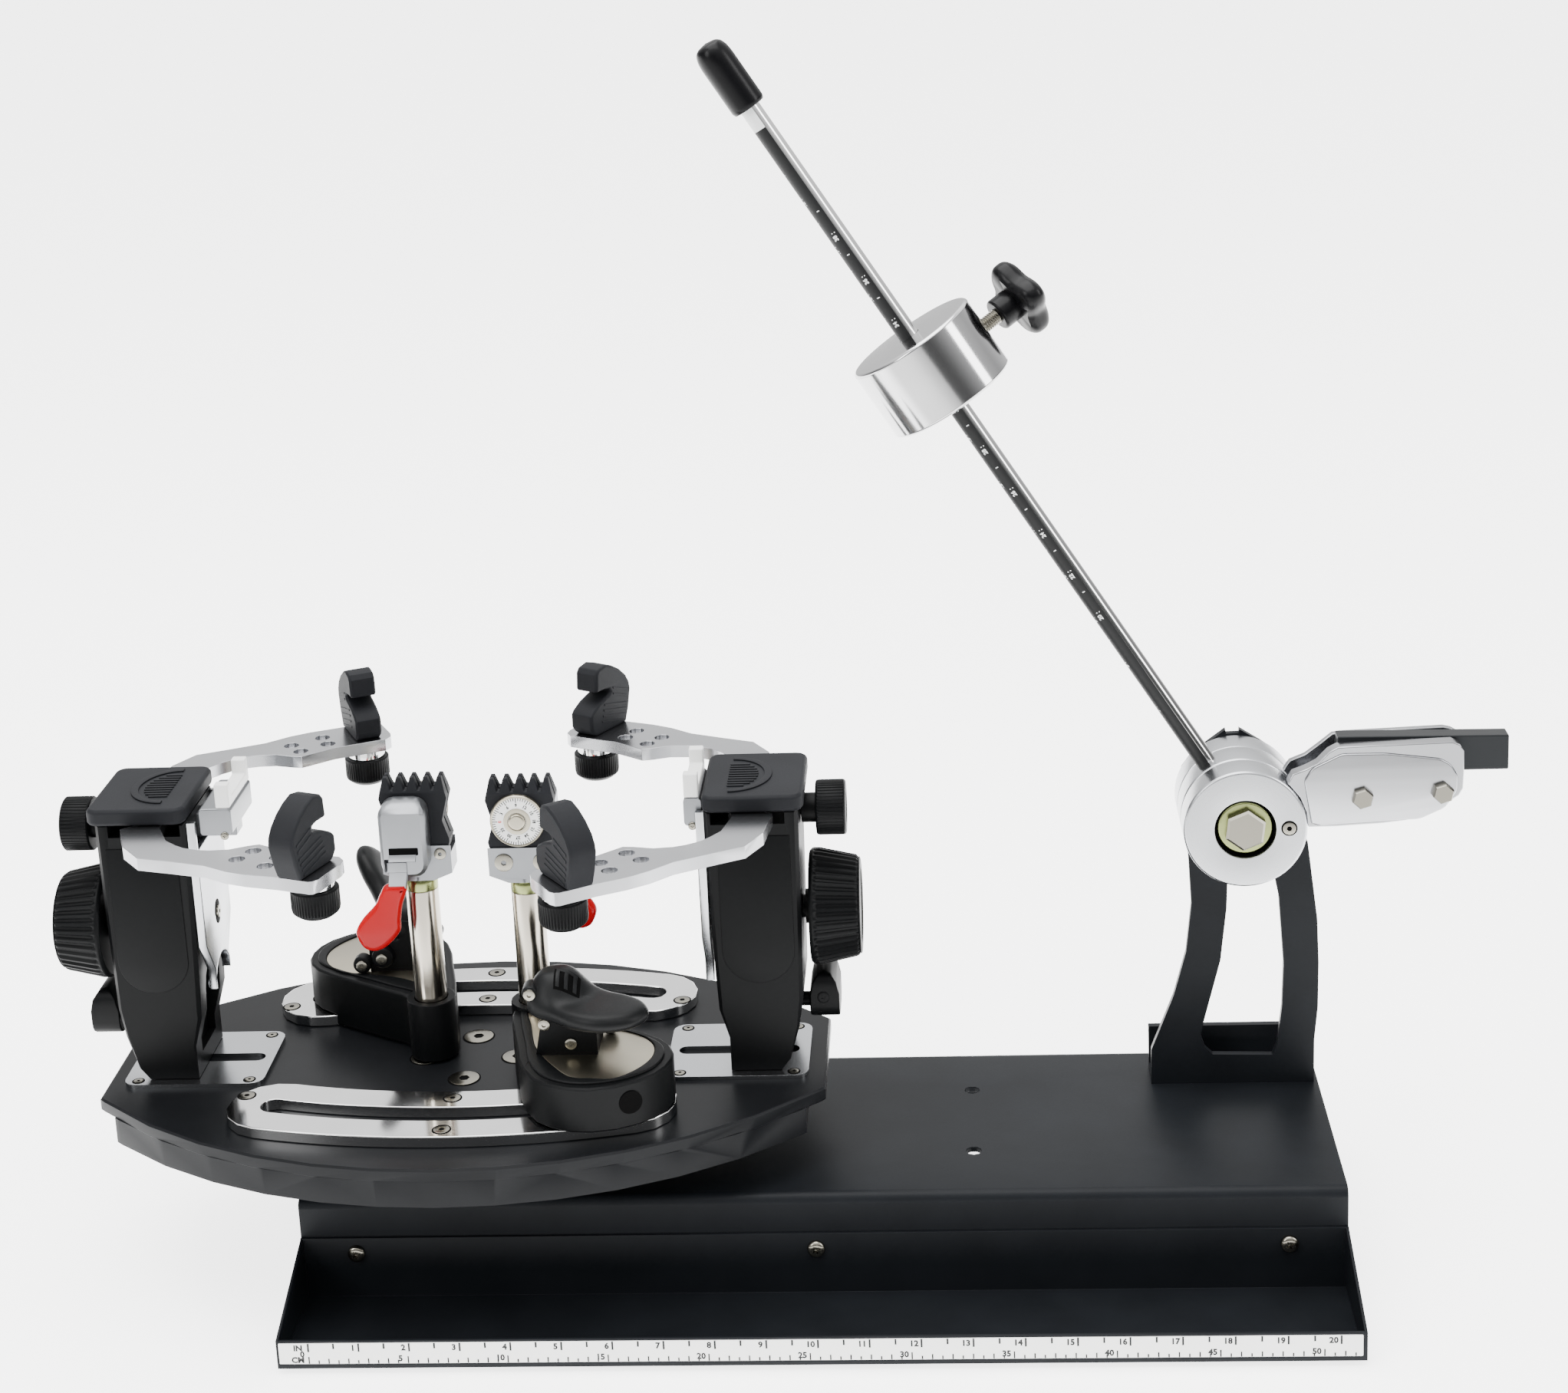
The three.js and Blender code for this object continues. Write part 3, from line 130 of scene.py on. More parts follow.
def finish(name, code, metallic, roughness, grain, depth, tone=0.12, patch=30.0, spread=0.05,
           stretch=(1, 1, 1), rings=None, coat=0.0, specular=0.5):
    """Principled surface in millimetres. grain is the size of the fine relief and depth its height; tone darkens
    and lightens the colour over patches of that size; spread does the same to roughness; stretch draws the grain
    out along an axis, as brushing does; rings is the axis point of a lathe-turned face."""
    made = bpy.data.materials.new(name)
    made.use_nodes = True
    tree = made.node_tree
    tree.nodes.clear()
    place = add(tree, "ShaderNodeTexCoord")
    if rings is None:
        spot = add(tree, "ShaderNodeMapping", values={"Scale": [s / (grain * MM) for s in stretch]},
                   links={"Vector": place.outputs["Object"]})
        fine = add(tree, "ShaderNodeTexNoise", values={"Scale": 1.0, "Detail": 3.0, "Roughness": 0.6},
                   links={"Vector": spot.outputs[0]})
    else:
        spot = add(tree, "ShaderNodeVectorMath", {"operation": "SUBTRACT"}, {1: [v * MM for v in rings]},
                   {0: place.outputs["Object"]})
        flat = add(tree, "ShaderNodeVectorMath", {"operation": "MULTIPLY"}, {1: (1, 0, 1)},
                   {0: spot.outputs[0]})
        reach = add(tree, "ShaderNodeVectorMath", {"operation": "LENGTH"}, links={0: flat.outputs[0]})
        count = add(tree, "ShaderNodeMath", {"operation": "MULTIPLY"}, {1: 1 / (grain * MM)},
                    {0: reach.outputs["Value"]})
        fine = add(tree, "ShaderNodeTexNoise", {"noise_dimensions": "1D"}, {"Scale": 1.0, "Detail": 2.0},
                   {"W": count.outputs[0]})
    broad = add(tree, "ShaderNodeTexNoise", values={"Scale": 1 / (patch * MM), "Detail": 4.0},
                links={"Vector": place.outputs["Object"]})
    base = np.array(linear(code)[:3])
    shade = add(tree, "ShaderNodeValToRGB", links={"Fac": broad.outputs["Fac"]})
    shade.color_ramp.elements[0].position = 0.3
    shade.color_ramp.elements[1].position = 0.7
    shade.color_ramp.elements[0].color = (*(base * (1 - tone)), 1)
    shade.color_ramp.elements[1].color = (*np.minimum(base * (1 + tone), 1), 1)
    dull = add(tree, "ShaderNodeMapRange", values={"To Min": max(roughness - spread, 0.02),
                                                   "To Max": min(roughness + spread, 1.0)},
               links={"Value": fine.outputs["Fac"]})
    relief = add(tree, "ShaderNodeBump", values={"Strength": 0.6, "Distance": depth * MM},
                 links={"Height": fine.outputs["Fac"]})
    skin = add(tree, "ShaderNodeBsdfPrincipled",
               values={"Metallic": metallic, "Coat Weight": coat, "Specular IOR Level": specular},
               links={"Base Color": shade.outputs["Color"], "Roughness": dull.outputs["Result"],
                      "Normal": relief.outputs["Normal"]})
    add(tree, "ShaderNodeOutputMaterial", links={"Surface": skin.outputs[0]})
    return made


def make_finishes():
    """One material for each real finish on the machine."""
    return {
        # Powder-coated mild steel: even satin black with a fine orange-peel skin
        "powder": finish("powder_coated_steel", "#15171a", 0.0, 0.4, 0.9, 0.02, spread=0.04, specular=0.1),
        # Spark-eroded glass-filled nylon: dull black with a fine even grain
        "nylon": finish("moulded_nylon", "#0a0b0c", 0.0, 0.44, 0.7, 0.02, spread=0.05, specular=0.1),
        # The same nylon left coarser and greyer, on caps and hook pads
        "grey_nylon": finish("moulded_grey_nylon", "#191a1d", 0.0, 0.58, 0.9, 0.06, spread=0.05, specular=0.12),
        # Satin-moulded ABS turntable: smoother, with a soft reflection
        "abs": finish("satin_abs", "#131416", 0.0, 0.34, 1.4, 0.01, spread=0.03, specular=0.1),
        # Soft-touch rubber over the cam levers: dull, rounded, slightly worn
        "soft": finish("soft_touch_rubber", "#0c0d0e", 0.0, 0.42, 1.2, 0.02, spread=0.06, specular=0.15),
        # Chrome-plated steel: mirror bright with faint polishing lines
        "chrome": finish("chrome_plated_steel", "#d8d8d8", 1.0, 0.09, 0.4, 0.001, 0.03, spread=0.03),
        # Brushed nickel on the clamp posts: warm, drawn out along the post
        "nickel": finish("brushed_nickel_plate", "#b8b1a4", 1.0, 0.17, 0.4, 0.003, 0.05, spread=0.05,
                         stretch=(1, 1, 0.03)),
        # Turned chrome on the weight
        "weight": finish("turned_chrome_steel", "#cfcfd0", 1.0, 0.12, 0.5, 0.001, 0.04, spread=0.03),
        # Zinc die-cast arms, tumbled and nickel-plated: bright grey
        "cast": finish("nickel_plated_zinc", "#acadb0", 1.0, 0.24, 1.4, 0.0005, 0.03, spread=0.015),
        # Stainless sheet: satin with straight brushing
        "sheet": finish("brushed_stainless", "#b2b4b7", 1.0, 0.25, 0.5, 0.004, 0.04, stretch=(0.05, 1, 1)),
        # Champagne-coloured anodised insert on the clamp bases
        "insert": finish("champagne_anodised_aluminium", "#aaa493", 1.0, 0.3, 0.6, 0.003, 0.06,
                         stretch=(0.06, 1, 1)),
        # Satin-lacquered die-cast clamp heads and brackets
        "lacquer": finish("silver_lacquered_zinc", "#848689", 0.9, 0.33, 0.8, 0.005, 0.05, spread=0.04),
        # Lathe-turned aluminium drum: rings on its faces
        "turned": finish("turned_aluminium", "#b9bbbe", 1.0, 0.28, 1.1, 0.0015, 0.03, rings=DRUM, spread=0.04),
        # Zinc-plated screws: bright with a slight yellow cast
        "zinc": finish("zinc_plated_steel", "#87847a", 1.0, 0.22, 0.5, 0.003, 0.05),
        # Yellow-passivated zinc on the pivot washer and the post bushings
        "passivated": finish("yellow_passivated_zinc", "#8a9160", 1.0, 0.26, 0.6, 0.003, 0.08, patch=6.0),
        # Glossy moulded ABS in white
        "white": finish("white_abs", "#f1f1ef", 0.0, 0.3, 1.0, 0.005, 0.02),
        # Printed vinyl film: white, dull, flat
        "vinyl": finish("printed_vinyl", "#f4f4f2", 0.0, 0.45, 1.0, 0.003, 0.02),
        # Screen-printed ink, black, white and red
        "ink": finish("black_print", "#0c0d0e", 0.0, 0.5, 1.0, 0.002, 0.02, specular=0.3),
        "white_ink": finish("white_print", "#eceeee", 0.0, 0.5, 1.0, 0.002, 0.02),
        "red_ink": finish("red_print", "#d01420", 0.0, 0.5, 1.0, 0.002, 0.02),
        # Painted shade: near-black dull flat with almost no shine, laid in holes, slots, windows and screw seats
        # where there is only shade
        "painted_shade": finish("painted_recess_shade", "#050505", 0.0, 0.6, 0.8, 0.005, specular=0.03),
        # Dip-moulded soft PVC: thick glossy red skin with slow waves
        "dip": finish("dipped_pvc", "#a8030f", 0.0, 0.16, 9.0, 0.06, 0.06, spread=0.04, coat=0.05, specular=0.15),
        # Nitrile rubber end cap and feet
        "rubber": finish("nitrile_rubber", "#08080a", 0.0, 0.3, 2.0, 0.01, spread=0.05, specular=0.15),
        # Dark anodised aluminium jaw slide
        "anodised": finish("anodised_aluminium", "#1f2123", 0.7, 0.4, 0.6, 0.004, 0.05, stretch=(0.08, 1, 1)),
    }


# Meshes


def piece(name, part, material, body, stands_for=(), angle=38, weld=0.0):
    """A mesh object at the origin from a part: its points in millimetres and its faces."""
    points, faces = part
    data = bpy.data.meshes.new(name)
    data.from_pydata((np.asarray(points) * MM).tolist(), [], [list(map(int, f)) for f in faces])
    if weld:
        grid = bmesh.new()
        grid.from_mesh(data)
        bmesh.ops.remove_doubles(grid, verts=grid.verts, dist=weld * MM)
        bmesh.ops.dissolve_degenerate(grid, edges=grid.edges, dist=weld * MM)
        grid.to_mesh(data)
        grid.free()
    data.shade_smooth()
    data.set_sharp_from_angle(angle=math.radians(angle))
    data.materials.append(FINISH[material])
    made = bpy.data.objects.new(name, data)
    bpy.context.scene.collection.objects.link(made)
    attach(made, body)
    if stands_for:
        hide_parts(stands_for)
    return made


def welded(name, part, material, body, stands_for=()):
    """A piece whose poles and doubled points are merged."""
    return piece(name, part, material, body, stands_for, weld=WELD)


def several(parts):
    """One point array and face list from several."""
    points, faces, start = [], [], 0
    for some_points, some_faces in parts:
        points.append(some_points)
        faces += [[start + i for i in face] for face in some_faces]
        start += len(some_points)
    return np.concatenate(points), faces


def placed(part, centre, way, turn=0.0):
    """Turns a part's own z axis to lie along way, after a turn about it, and moves its origin to centre."""
    points, faces = part
    way = np.asarray(way, float) / np.linalg.norm(way)
    side = np.cross(Y if abs(way[1]) < 0.9 else X, way)
    side /= np.linalg.norm(side)
    up = np.cross(way, side)
    c, s = math.cos(turn), math.sin(turn)
    axes = np.array([c * side + s * up, c * up - s * side, way])
    return points @ axes + np.asarray(centre), faces


def moved(part, change):
    """The part with its points put through a change of place that keeps its handedness."""
    return change(part[0]), part[1]


def rounded(corners, radius, steps=4):
    """Softens a profile's corners: each becomes a quadratic curve that starts and ends radius away from it."""
    corners = np.asarray(corners, float)
    radius = np.broadcast_to(radius, len(corners))
    out = [corners[:1]]
    t = np.linspace(0, 1, steps + 1)[:, None]
    for before, here, after, r in zip(corners, corners[1:], corners[2:], radius[1:]):
        if r <= 0:
            out.append(here[None])
            continue
        a = here + (before - here) / np.linalg.norm(before - here) * r
        b = here + (after - here) / np.linalg.norm(after - here) * r
        out.append((1 - t) ** 2 * a + 2 * t * (1 - t) * here + t ** 2 * b)
    out.append(corners[-1:])
    return np.concatenate(out)


def skin(rows):
    """Closed rings of points, listed from below upwards and each anticlockwise, joined by quads."""
    count, spin = rows.shape[:2]
    i, j = np.meshgrid(np.arange(count - 1), np.arange(spin), indexing="ij")
    k = (j + 1) % spin
    faces = np.stack([i * spin + j, i * spin + k, (i + 1) * spin + k, (i + 1) * spin + j], -1)
    return rows.reshape(-1, 3), faces.reshape(-1, 4).tolist()


def revolved(profile, spin=64, ripple=None):
    """Turned surface: profile (r, h) goes round as (r cos a, r sin a, h); ripple(a, r, h) gives the radius."""
    a = np.linspace(0, FULL, spin, endpoint=False)[None, :]
    profile = np.asarray(profile, float)
    r = np.repeat(profile[:, :1], spin, 1)
    h = np.repeat(profile[:, 1:], spin, 1)
    if ripple:
        r = ripple(a, r, h)
    return skin(np.stack([r * np.cos(a), r * np.sin(a), h], -1))


def outward(points):
    """Outward unit normals at the points of a closed outline that runs anticlockwise."""
    step = np.roll(points, -1, 0) - np.roll(points, 1, 0)
    out = np.stack([step[:, 1], -step[:, 0]], -1)
    return out / np.maximum(np.linalg.norm(out, axis=1, keepdims=True), 1e-9)


def anticlockwise(points):
    """The same outline, turned to run anticlockwise by the sign of its area."""
    x, y = points[:, 0], points[:, 1]
    return points if np.sum(x * np.roll(y, -1) - np.roll(x, -1) * y) > 0 else points[::-1]


def slab(outline, low, high, edge=0.6, holes=(), steps=3):
    """Plate: the outline is carried up the profile of a slab whose edges are quarter circles of radius edge, the
    holes likewise with the rounding turned inwards, and both flats are tessellated between them."""
    loops = [(anticlockwise(np.asarray(outline, float)), 1)]
    loops += [(anticlockwise(np.asarray(hole, float)), -1) for hole in holes]
    t = np.linspace(0, math.pi / 2, steps + 1)
    inset = np.concatenate([edge * (1 - np.sin(t)), (edge * (1 - np.sin(t)))[::-1]])
    height = np.concatenate([low + edge * (1 - np.cos(t)), (high - edge * (1 - np.cos(t)))[::-1]])
    points, faces, start, firsts = [], [], 0, []
    for loop, side in loops:
        n = len(loop)
        grown = loop[None] - outward(loop)[None] * (inset * side)[:, None, None]
        levels = np.repeat(height[:, None, None], n, 1)
        points.append(np.concatenate([grown, levels], -1).reshape(-1, 3))
        i, j = np.meshgrid(np.arange(len(height) - 1), np.arange(n), indexing="ij")
        k = (j + 1) % n
        quad = np.stack([i * n + j, i * n + k, (i + 1) * n + k, (i + 1) * n + j], -1).reshape(-1, 4) + start
        faces += (quad if side > 0 else quad[:, ::-1]).tolist()
        firsts.append((start, n))
        start += n * len(height)
    points = np.concatenate(points)
    numbers = np.concatenate([first + np.arange(n) for first, n in firsts])
    flat = [[Vector((*points[i, :2], 0)) for i in range(first, first + n)] for first, n in firsts]
    cover = np.array(tessellate_polygon(flat))
    corner = points[numbers[cover]][:, :, :2]
    turn = np.cross(corner[:, 1] - corner[:, 0], corner[:, 2] - corner[:, 0])
    cover = np.where((turn > 0)[:, None], cover[:, ::-1], cover)
    top = np.concatenate([first + n * (len(height) - 1) + np.arange(n) for first, n in firsts])
    faces += numbers[cover].tolist() + top[cover][:, ::-1].tolist()
    return points, faces


def upright(part, near):
    """Lays a slab's outline (x, z) upright: its thickness then runs along +Y from near."""
    points, faces = part
    return np.stack([points[:, 0], near + points[:, 2], points[:, 1]], -1), [f[::-1] for f in faces]


def sideways(part, near):
    """Lays a slab's outline (y, z) upright: its thickness then runs along +X from near."""
    points, faces = part
    return np.stack([near + points[:, 2], points[:, 0], points[:, 1]], -1), faces


def spline(points, count=160):
    """Closed Catmull-Rom curve through the points, sampled evenly in parameter."""
    p = np.asarray(points, float)
    n = len(p)
    u = np.linspace(0, n, count, endpoint=False)
    i = u.astype(int)
    t = (u - i)[:, None]
    a, b, c, d = (p[(i + k) % n] for k in (-1, 0, 1, 2))
    return 0.5 * (2 * b + (c - a) * t + (2 * a - 5 * b + 4 * c - d) * t ** 2 + (3 * b - a - 3 * c + d) * t ** 3)


def box_outline(x0, x1, y0, y1, corner, steps=6):
    """Rectangle with quarter-circle corners."""
    t = np.linspace(0, math.pi / 2, steps + 1)
    spots = [(x1 - corner, y1 - corner), (x0 + corner, y1 - corner), (x0 + corner, y0 + corner),
             (x1 - corner, y0 + corner)]
    return np.concatenate([np.stack([cx + corner * np.cos(t + k * math.pi / 2),
                                     cy + corner * np.sin(t + k * math.pi / 2)], -1)
                           for k, (cx, cy) in enumerate(spots)])


def spun(points, angle):
    """Turns an outline about its origin."""
    c, s = math.cos(angle), math.sin(angle)
    return np.asarray(points) @ np.array([[c, s], [-s, c]])


def dressed(node, material, body, edge, angle=35, segments=2, cuts=(), form=None):
    """The node's own form with its doubles merged and its sharp edges rounded. cuts are planes (point, normal)
    that part its faces, and form moves the points, in millimetres, before the rounding."""
    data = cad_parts[node].data.copy()
    data.materials.clear()
    data.materials.append(FINISH[material])
    grid = bmesh.new()
    grid.from_mesh(data)
    bmesh.ops.remove_doubles(grid, verts=grid.verts, dist=0.002 * MM)
    bmesh.ops.dissolve_limit(grid, angle_limit=math.radians(0.2), verts=grid.verts, edges=grid.edges)
    for point, normal in cuts:
        whole = grid.verts[:] + grid.edges[:] + grid.faces[:]
        bmesh.ops.bisect_plane(grid, geom=whole, plane_co=Vector(np.asarray(point) * MM), plane_no=Vector(normal))
    grid.to_mesh(data)
    grid.free()
    if form:
        points = np.empty(len(data.vertices) * 3)
        data.vertices.foreach_get("co", points)
        data.vertices.foreach_set("co", (form(points.reshape(-1, 3) / MM) * MM).ravel())
    made = bpy.data.objects.new(node + "_skin", data)
    bpy.context.scene.collection.objects.link(made)
    soft = made.modifiers.new("edges", "BEVEL")
    soft.width = edge * MM
    soft.segments = segments
    soft.limit_method = "ANGLE"
    soft.angle_limit = math.radians(angle)
    soft.use_clamp_overlap = True
    soft.harden_normals = True
    data.shade_smooth()
    data.set_sharp_from_angle(angle=math.radians(angle))
    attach(made, body)
    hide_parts(node)
    return made


# Turned parts, fasteners and lettering


def lathe(name, profile, radii, spin, centre, way, material, body, stands_for=(), steps=4):
    """A turned piece: its softened profile goes round an axis that lies along way through centre."""
    part = placed(revolved(rounded(profile, radii, steps), spin), centre, way)
    return welded(name, part, material, body, stands_for)


def disc(radius, low, high):
    """Flat disc."""
    return revolved([(0, low), (radius, low), (radius, high), (0, high)], 40)


def boss(radius, height, bevel=1.0):
    """Round boss with a bevelled, softened top."""
    profile = [(0, 0), (radius, 0), (radius, height - 1), (radius - bevel, height), (0, height)]
    return revolved(rounded(profile, [0, .5, .5, .8, 0]), 32)


def hex_radius(a, flats):
    """Radius of a hexagon of that size across flats at each angle."""
    return flats / 2 / np.cos((a + math.pi / 6) % (math.pi / 3) - math.pi / 6)


def socket_screw(radius, height, flats, depth):
    """Round head with a hexagon pit: rings go up the head, in to the hexagon and down to its floor."""
    rim = min(radius, height) * 0.35
    r = np.array([0, radius, radius, radius - rim * 0.3, radius - rim, 1, 1, 0.0])
    h = np.array([0, 0, height - rim, height - rim * 0.3, height, height, height - depth, height - depth])

    def pit(a, r_all, _):
        inner = hex_radius(a, flats)
        return np.where(np.isin(np.arange(8), (5, 6))[:, None], inner, r_all)
    return revolved(np.stack([r, h], -1), 36, pit)


def pan_screw(radius, height):
    """Domed head with a cross recess: the dome is a quarter ellipse, the recess a four-lobed pit."""
    t = np.linspace(0, math.pi / 2, 5)
    dome = np.stack([radius * np.cos(t * 0.75), height * (0.35 + 0.65 * np.sin(t))], -1)
    profile = np.concatenate([[(0, 0), (radius, 0)], dome, [(1, height), (1, height * 0.35), (0, height * 0.3)]])
    last = len(profile)

    def cross(a, r_all, _):
        lobe = radius * (0.18 + 0.42 * np.abs(np.cos(2 * a)) ** 6)
        return np.where(np.isin(np.arange(last), (last - 3, last - 2))[:, None], lobe, r_all)
    return revolved(profile, 32, cross)


def hex_bolt(flats, height):
    """Hexagon head with a chamfered crown."""
    profile = np.array([(0, 0), (1, 0), (1, height * 0.8), (0.88, height), (0, height)])

    def six(a, r_all, _):
        return r_all * hex_radius(a, flats)
    return revolved(profile, 48, six)


def lettering(words):
    """Meshes of short words. Each entry is (text, size, centre x, centre y, turn), laid flat on the xy plane."""
    parts = []
    for text, size, x, y, turn in words:
        curve = bpy.data.curves.new("mark", "FONT")
        curve.body = text
        curve.size = size
        curve.align_x = "CENTER"
        curve.align_y = "CENTER"
        curve.extrude = PRINT / 2
        curve.offset = size * 0.04
        curve.resolution_u = 2
        holder = bpy.data.objects.new("mark", curve)
        mesh = bpy.data.meshes.new_from_object(holder)
        points = np.empty(len(mesh.vertices) * 3)
        mesh.vertices.foreach_get("co", points)
        points = points.reshape(-1, 3)
        points[:, :2] = spun(points[:, :2], turn) + (x, y)
        points[:, 2] += PRINT / 2
        parts.append((points, [list(p.vertices) for p in mesh.polygons]))
        bpy.data.objects.remove(holder)
        bpy.data.curves.remove(curve)
        bpy.data.meshes.remove(mesh)
    return several(parts)


def bar(x, half, y0, y1, z0, z1):
    """A small printed bar that reaches half its width to either side of x."""
    corners = [(x - half, y0), (x + half, y0), (x + half, y1), (x - half, y1)]
    return slab(corners, z0, z1, 0.0, steps=1)


def on_table(points, side):
    """From the turntable's own frame to the machine's; the left side is the right side after half a turn."""
    points = np.asarray(points, float).copy()
    points[..., :2] *= side
    return points + TABLE


# Sizes a user may change


def number(name, description, default, kind=FloatProperty, **more):
    """A field of the panel."""
    return kind(name=name, description=description, default=default, **more)


class ViewSizes(bpy.types.PropertyGroup):
    """Where the camera stands and how it looks"""
    lens: number("Lens", "Focal length on a 36 mm wide sensor", 64.29, unit="CAMERA")
    aim: number("Aim", "Left turn, downward tilt and roll, in degrees", (4.287, 14.815, -2.827),
                FloatVectorProperty)
    stand: number("Stand", "Camera place from the base's middle, in millimetres", (81.79, -1357.45, 771.9),
                  FloatVectorProperty)
    shift: number("Shift", "Sensor shift across and up, as shares of the width", (0.02005, -0.13074),
                  FloatVectorProperty, size=2)


class StudioSizes(bpy.types.PropertyGroup):
    """Floor and lights"""
    floor: number("Floor", "Half-width of the floor", 14.0, unit="LENGTH")
    paper: number("Paper", "Colour of the floor", linear("#fafaf9"), FloatVectorProperty, subtype="COLOR", size=4)
    glow: number("Glow", "Light that the paper lets through from below", 3.2)
    key: number("Key", "Power of the large light overhead, in watts", 85.0)
    fill: number("Fill", "Power of the light at the front left, in watts", 45.0)
    sky: number("Sky", "Strength of the surrounding light overhead", 1.7)
    wall: number("Wall", "Strength of the surrounding light at eye level", 0.12)
    back: number("Back", "Further light from behind the machine", 0.9)


class BaseSizes(bpy.types.PropertyGroup):
    """Base channel's screws and printed strip"""
    screw: number("Tray screw", "Head radius, in millimetres", 4.6)
    inch: number("Inch", "Spacing of the long marks, in millimetres", 25.4)
    figure: number("Figure", "Height of the strip's figures, in millimetres", 4.4)


class KnobSizes(bpy.types.PropertyGroup):
    """Ribs of the knobs"""
    ribs: number("Large ribs", "Ribs round a large knob", 40, IntProperty)
    knurls: number("Knurls", "Ridges round a small knob", 48, IntProperty)
    rib: number("Rib height", "Height of a rib, in millimetres", 0.9)


class RodSizes(bpy.types.PropertyGroup):
    """Scale on the rod"""
    first: number("First mark", "Distance of mark 7 from the drum's axis, in millimetres", 72.0)
    pitch: number("Pitch", "Distance between whole marks, in millimetres", 29.0)


# Operators


class Dress(bpy.types.Operator):
    """What the steps of the dressing share"""
    bl_options = {"REGISTER", "UNDO"}


class STRINGING_OT_camera(Dress):
    """Stands the camera where the photograph was taken"""
    bl_idname = "stringing.camera"
    bl_label = "Camera"

    def execute(self, context):
        sizes = context.scene.stringing_view
        left, down, roll = (math.radians(v) for v in sizes.aim)
        ahead = Vector((-math.sin(left) * math.cos(down), math.cos(left) * math.cos(down), -math.sin(down)))
        across = Vector((math.cos(left), math.sin(left), 0))
        above = across.cross(ahead)
        right = across * math.cos(roll) + above * math.sin(roll)
        up = above * math.cos(roll) - across * math.sin(roll)
        lens = bpy.data.cameras.new("photograph")
        lens.sensor_width = 36
        lens.lens = sizes.lens
        lens.shift_x, lens.shift_y = sizes.shift
        lens.clip_end = 60
        made = bpy.data.objects.new("photograph", lens)
        context.scene.collection.objects.link(made)
        place = Vector((np.array(sizes.stand) + HOME) * MM)
        turn = Matrix((right, up, -ahead)).transposed().to_4x4()
        made.matrix_world = Matrix.Translation(place) @ turn
        context.scene.camera = made
        return {"FINISHED"}


def ramp(tree, source, start, end, low, high):
    """Smooth change from low to high as the source goes from start to end."""
    return add(tree, "ShaderNodeMapRange", {"interpolation_type": "SMOOTHSTEP"},
               {"From Min": start, "From Max": end, "To Min": low, "To Max": high}, {"Value": source})


class STRINGING_OT_studio(Dress):
    """Lays the floor and hangs the soft lights"""
    bl_idname = "stringing.studio"
    bl_label = "Floor and light"

    def execute(self, context):
        sizes = context.scene.stringing_studio
        half = sizes.floor
        data = bpy.data.meshes.new("floor")
        data.from_pydata([(-half, -half, 0), (half, -half, 0), (half, half, 0), (-half, half, 0)], [], [(0, 1, 2, 3)])
        made = bpy.data.objects.new("floor", data)
        context.scene.collection.objects.link(made)
        paper = bpy.data.materials.new("backlit_paper")
        paper.use_nodes = True
        tree = paper.node_tree
        skin = tree.nodes["Principled BSDF"]
        for key, value in (("Base Color", sizes.paper), ("Roughness", 0.8), ("Specular IOR Level", 0.2),
                           ("Emission Color", WHITE)):
            skin.inputs[key].default_value = value
        # The light through the paper fades out in front of the machine, where the table ends
        spot = add(tree, "ShaderNodeTexCoord")
        parts = add(tree, "ShaderNodeSeparateXYZ", links={0: spot.outputs["Object"]})
        fade = ramp(tree, parts.outputs["Y"], *PAPER_EDGE, 0.0, sizes.glow)
        tree.links.new(fade.outputs[0], skin.inputs["Emission Strength"])
        data.materials.append(paper)
        world = bpy.data.worlds.new("studio")
        world.use_nodes = True
        tree = world.node_tree
        # The surroundings go from a grey wall at eye level to a bright ceiling, by the height of each direction
        way = add(tree, "ShaderNodeTexCoord")
        parts = add(tree, "ShaderNodeSeparateXYZ", links={0: way.outputs["Generated"]})
        rise = ramp(tree, parts.outputs["Z"], 0.1, 0.75, sizes.wall, sizes.sky)
        behind = ramp(tree, parts.outputs["Y"], 0.3, 0.95, 0.0, sizes.back)
        both = add(tree, "ShaderNodeMath", {"operation": "ADD"}, links={0: rise.outputs[0], 1: behind.outputs[0]})
        back = tree.nodes["Background"]
        back.inputs[0].default_value = WHITE
        tree.links.new(both.outputs[0], back.inputs[1])
        context.scene.world = world
        for name, place, aim, wide, watts in (
                ("overhead", (-0.3, -0.1, 2.4), (0, 0, 0.2), (2.4, 1.8), sizes.key),
                ("front_left", (-2.2, -2.2, 1.8), (0, 0, 0.3), (1.0, 1.6), sizes.fill),
                ("right", (2.4, -0.6, 1.5), (0.1, 0, 0.3), (0.7, 1.6), sizes.fill * 0.7)):
            lamp = bpy.data.lights.new(name, "AREA")
            lamp.shape = "RECTANGLE"
            lamp.size, lamp.size_y = wide
            lamp.energy = watts
            made = bpy.data.objects.new(name, lamp)
            context.scene.collection.objects.link(made)
            way = Vector(aim) - Vector(place)
            made.matrix_world = Matrix.Translation(place) @ way.to_track_quat("-Z", "Y").to_matrix().to_4x4()
        return {"FINISHED"}


def tucked(points):
    """The bracket's ring drawn in behind the discs, but for its crown with the notch."""
    way = (points - DRUM) * (1, 0, 1)
    reach = np.linalg.norm(way, axis=1)
    outer = (reach > 30.5) & (reach < 37) & (np.abs(way[:, 0]) > 12) & (way[:, 2] > -16)
    share = np.where(outer, 30.2 / np.maximum(reach, 1), 1)
    return points - way * (1 - share)[:, None]


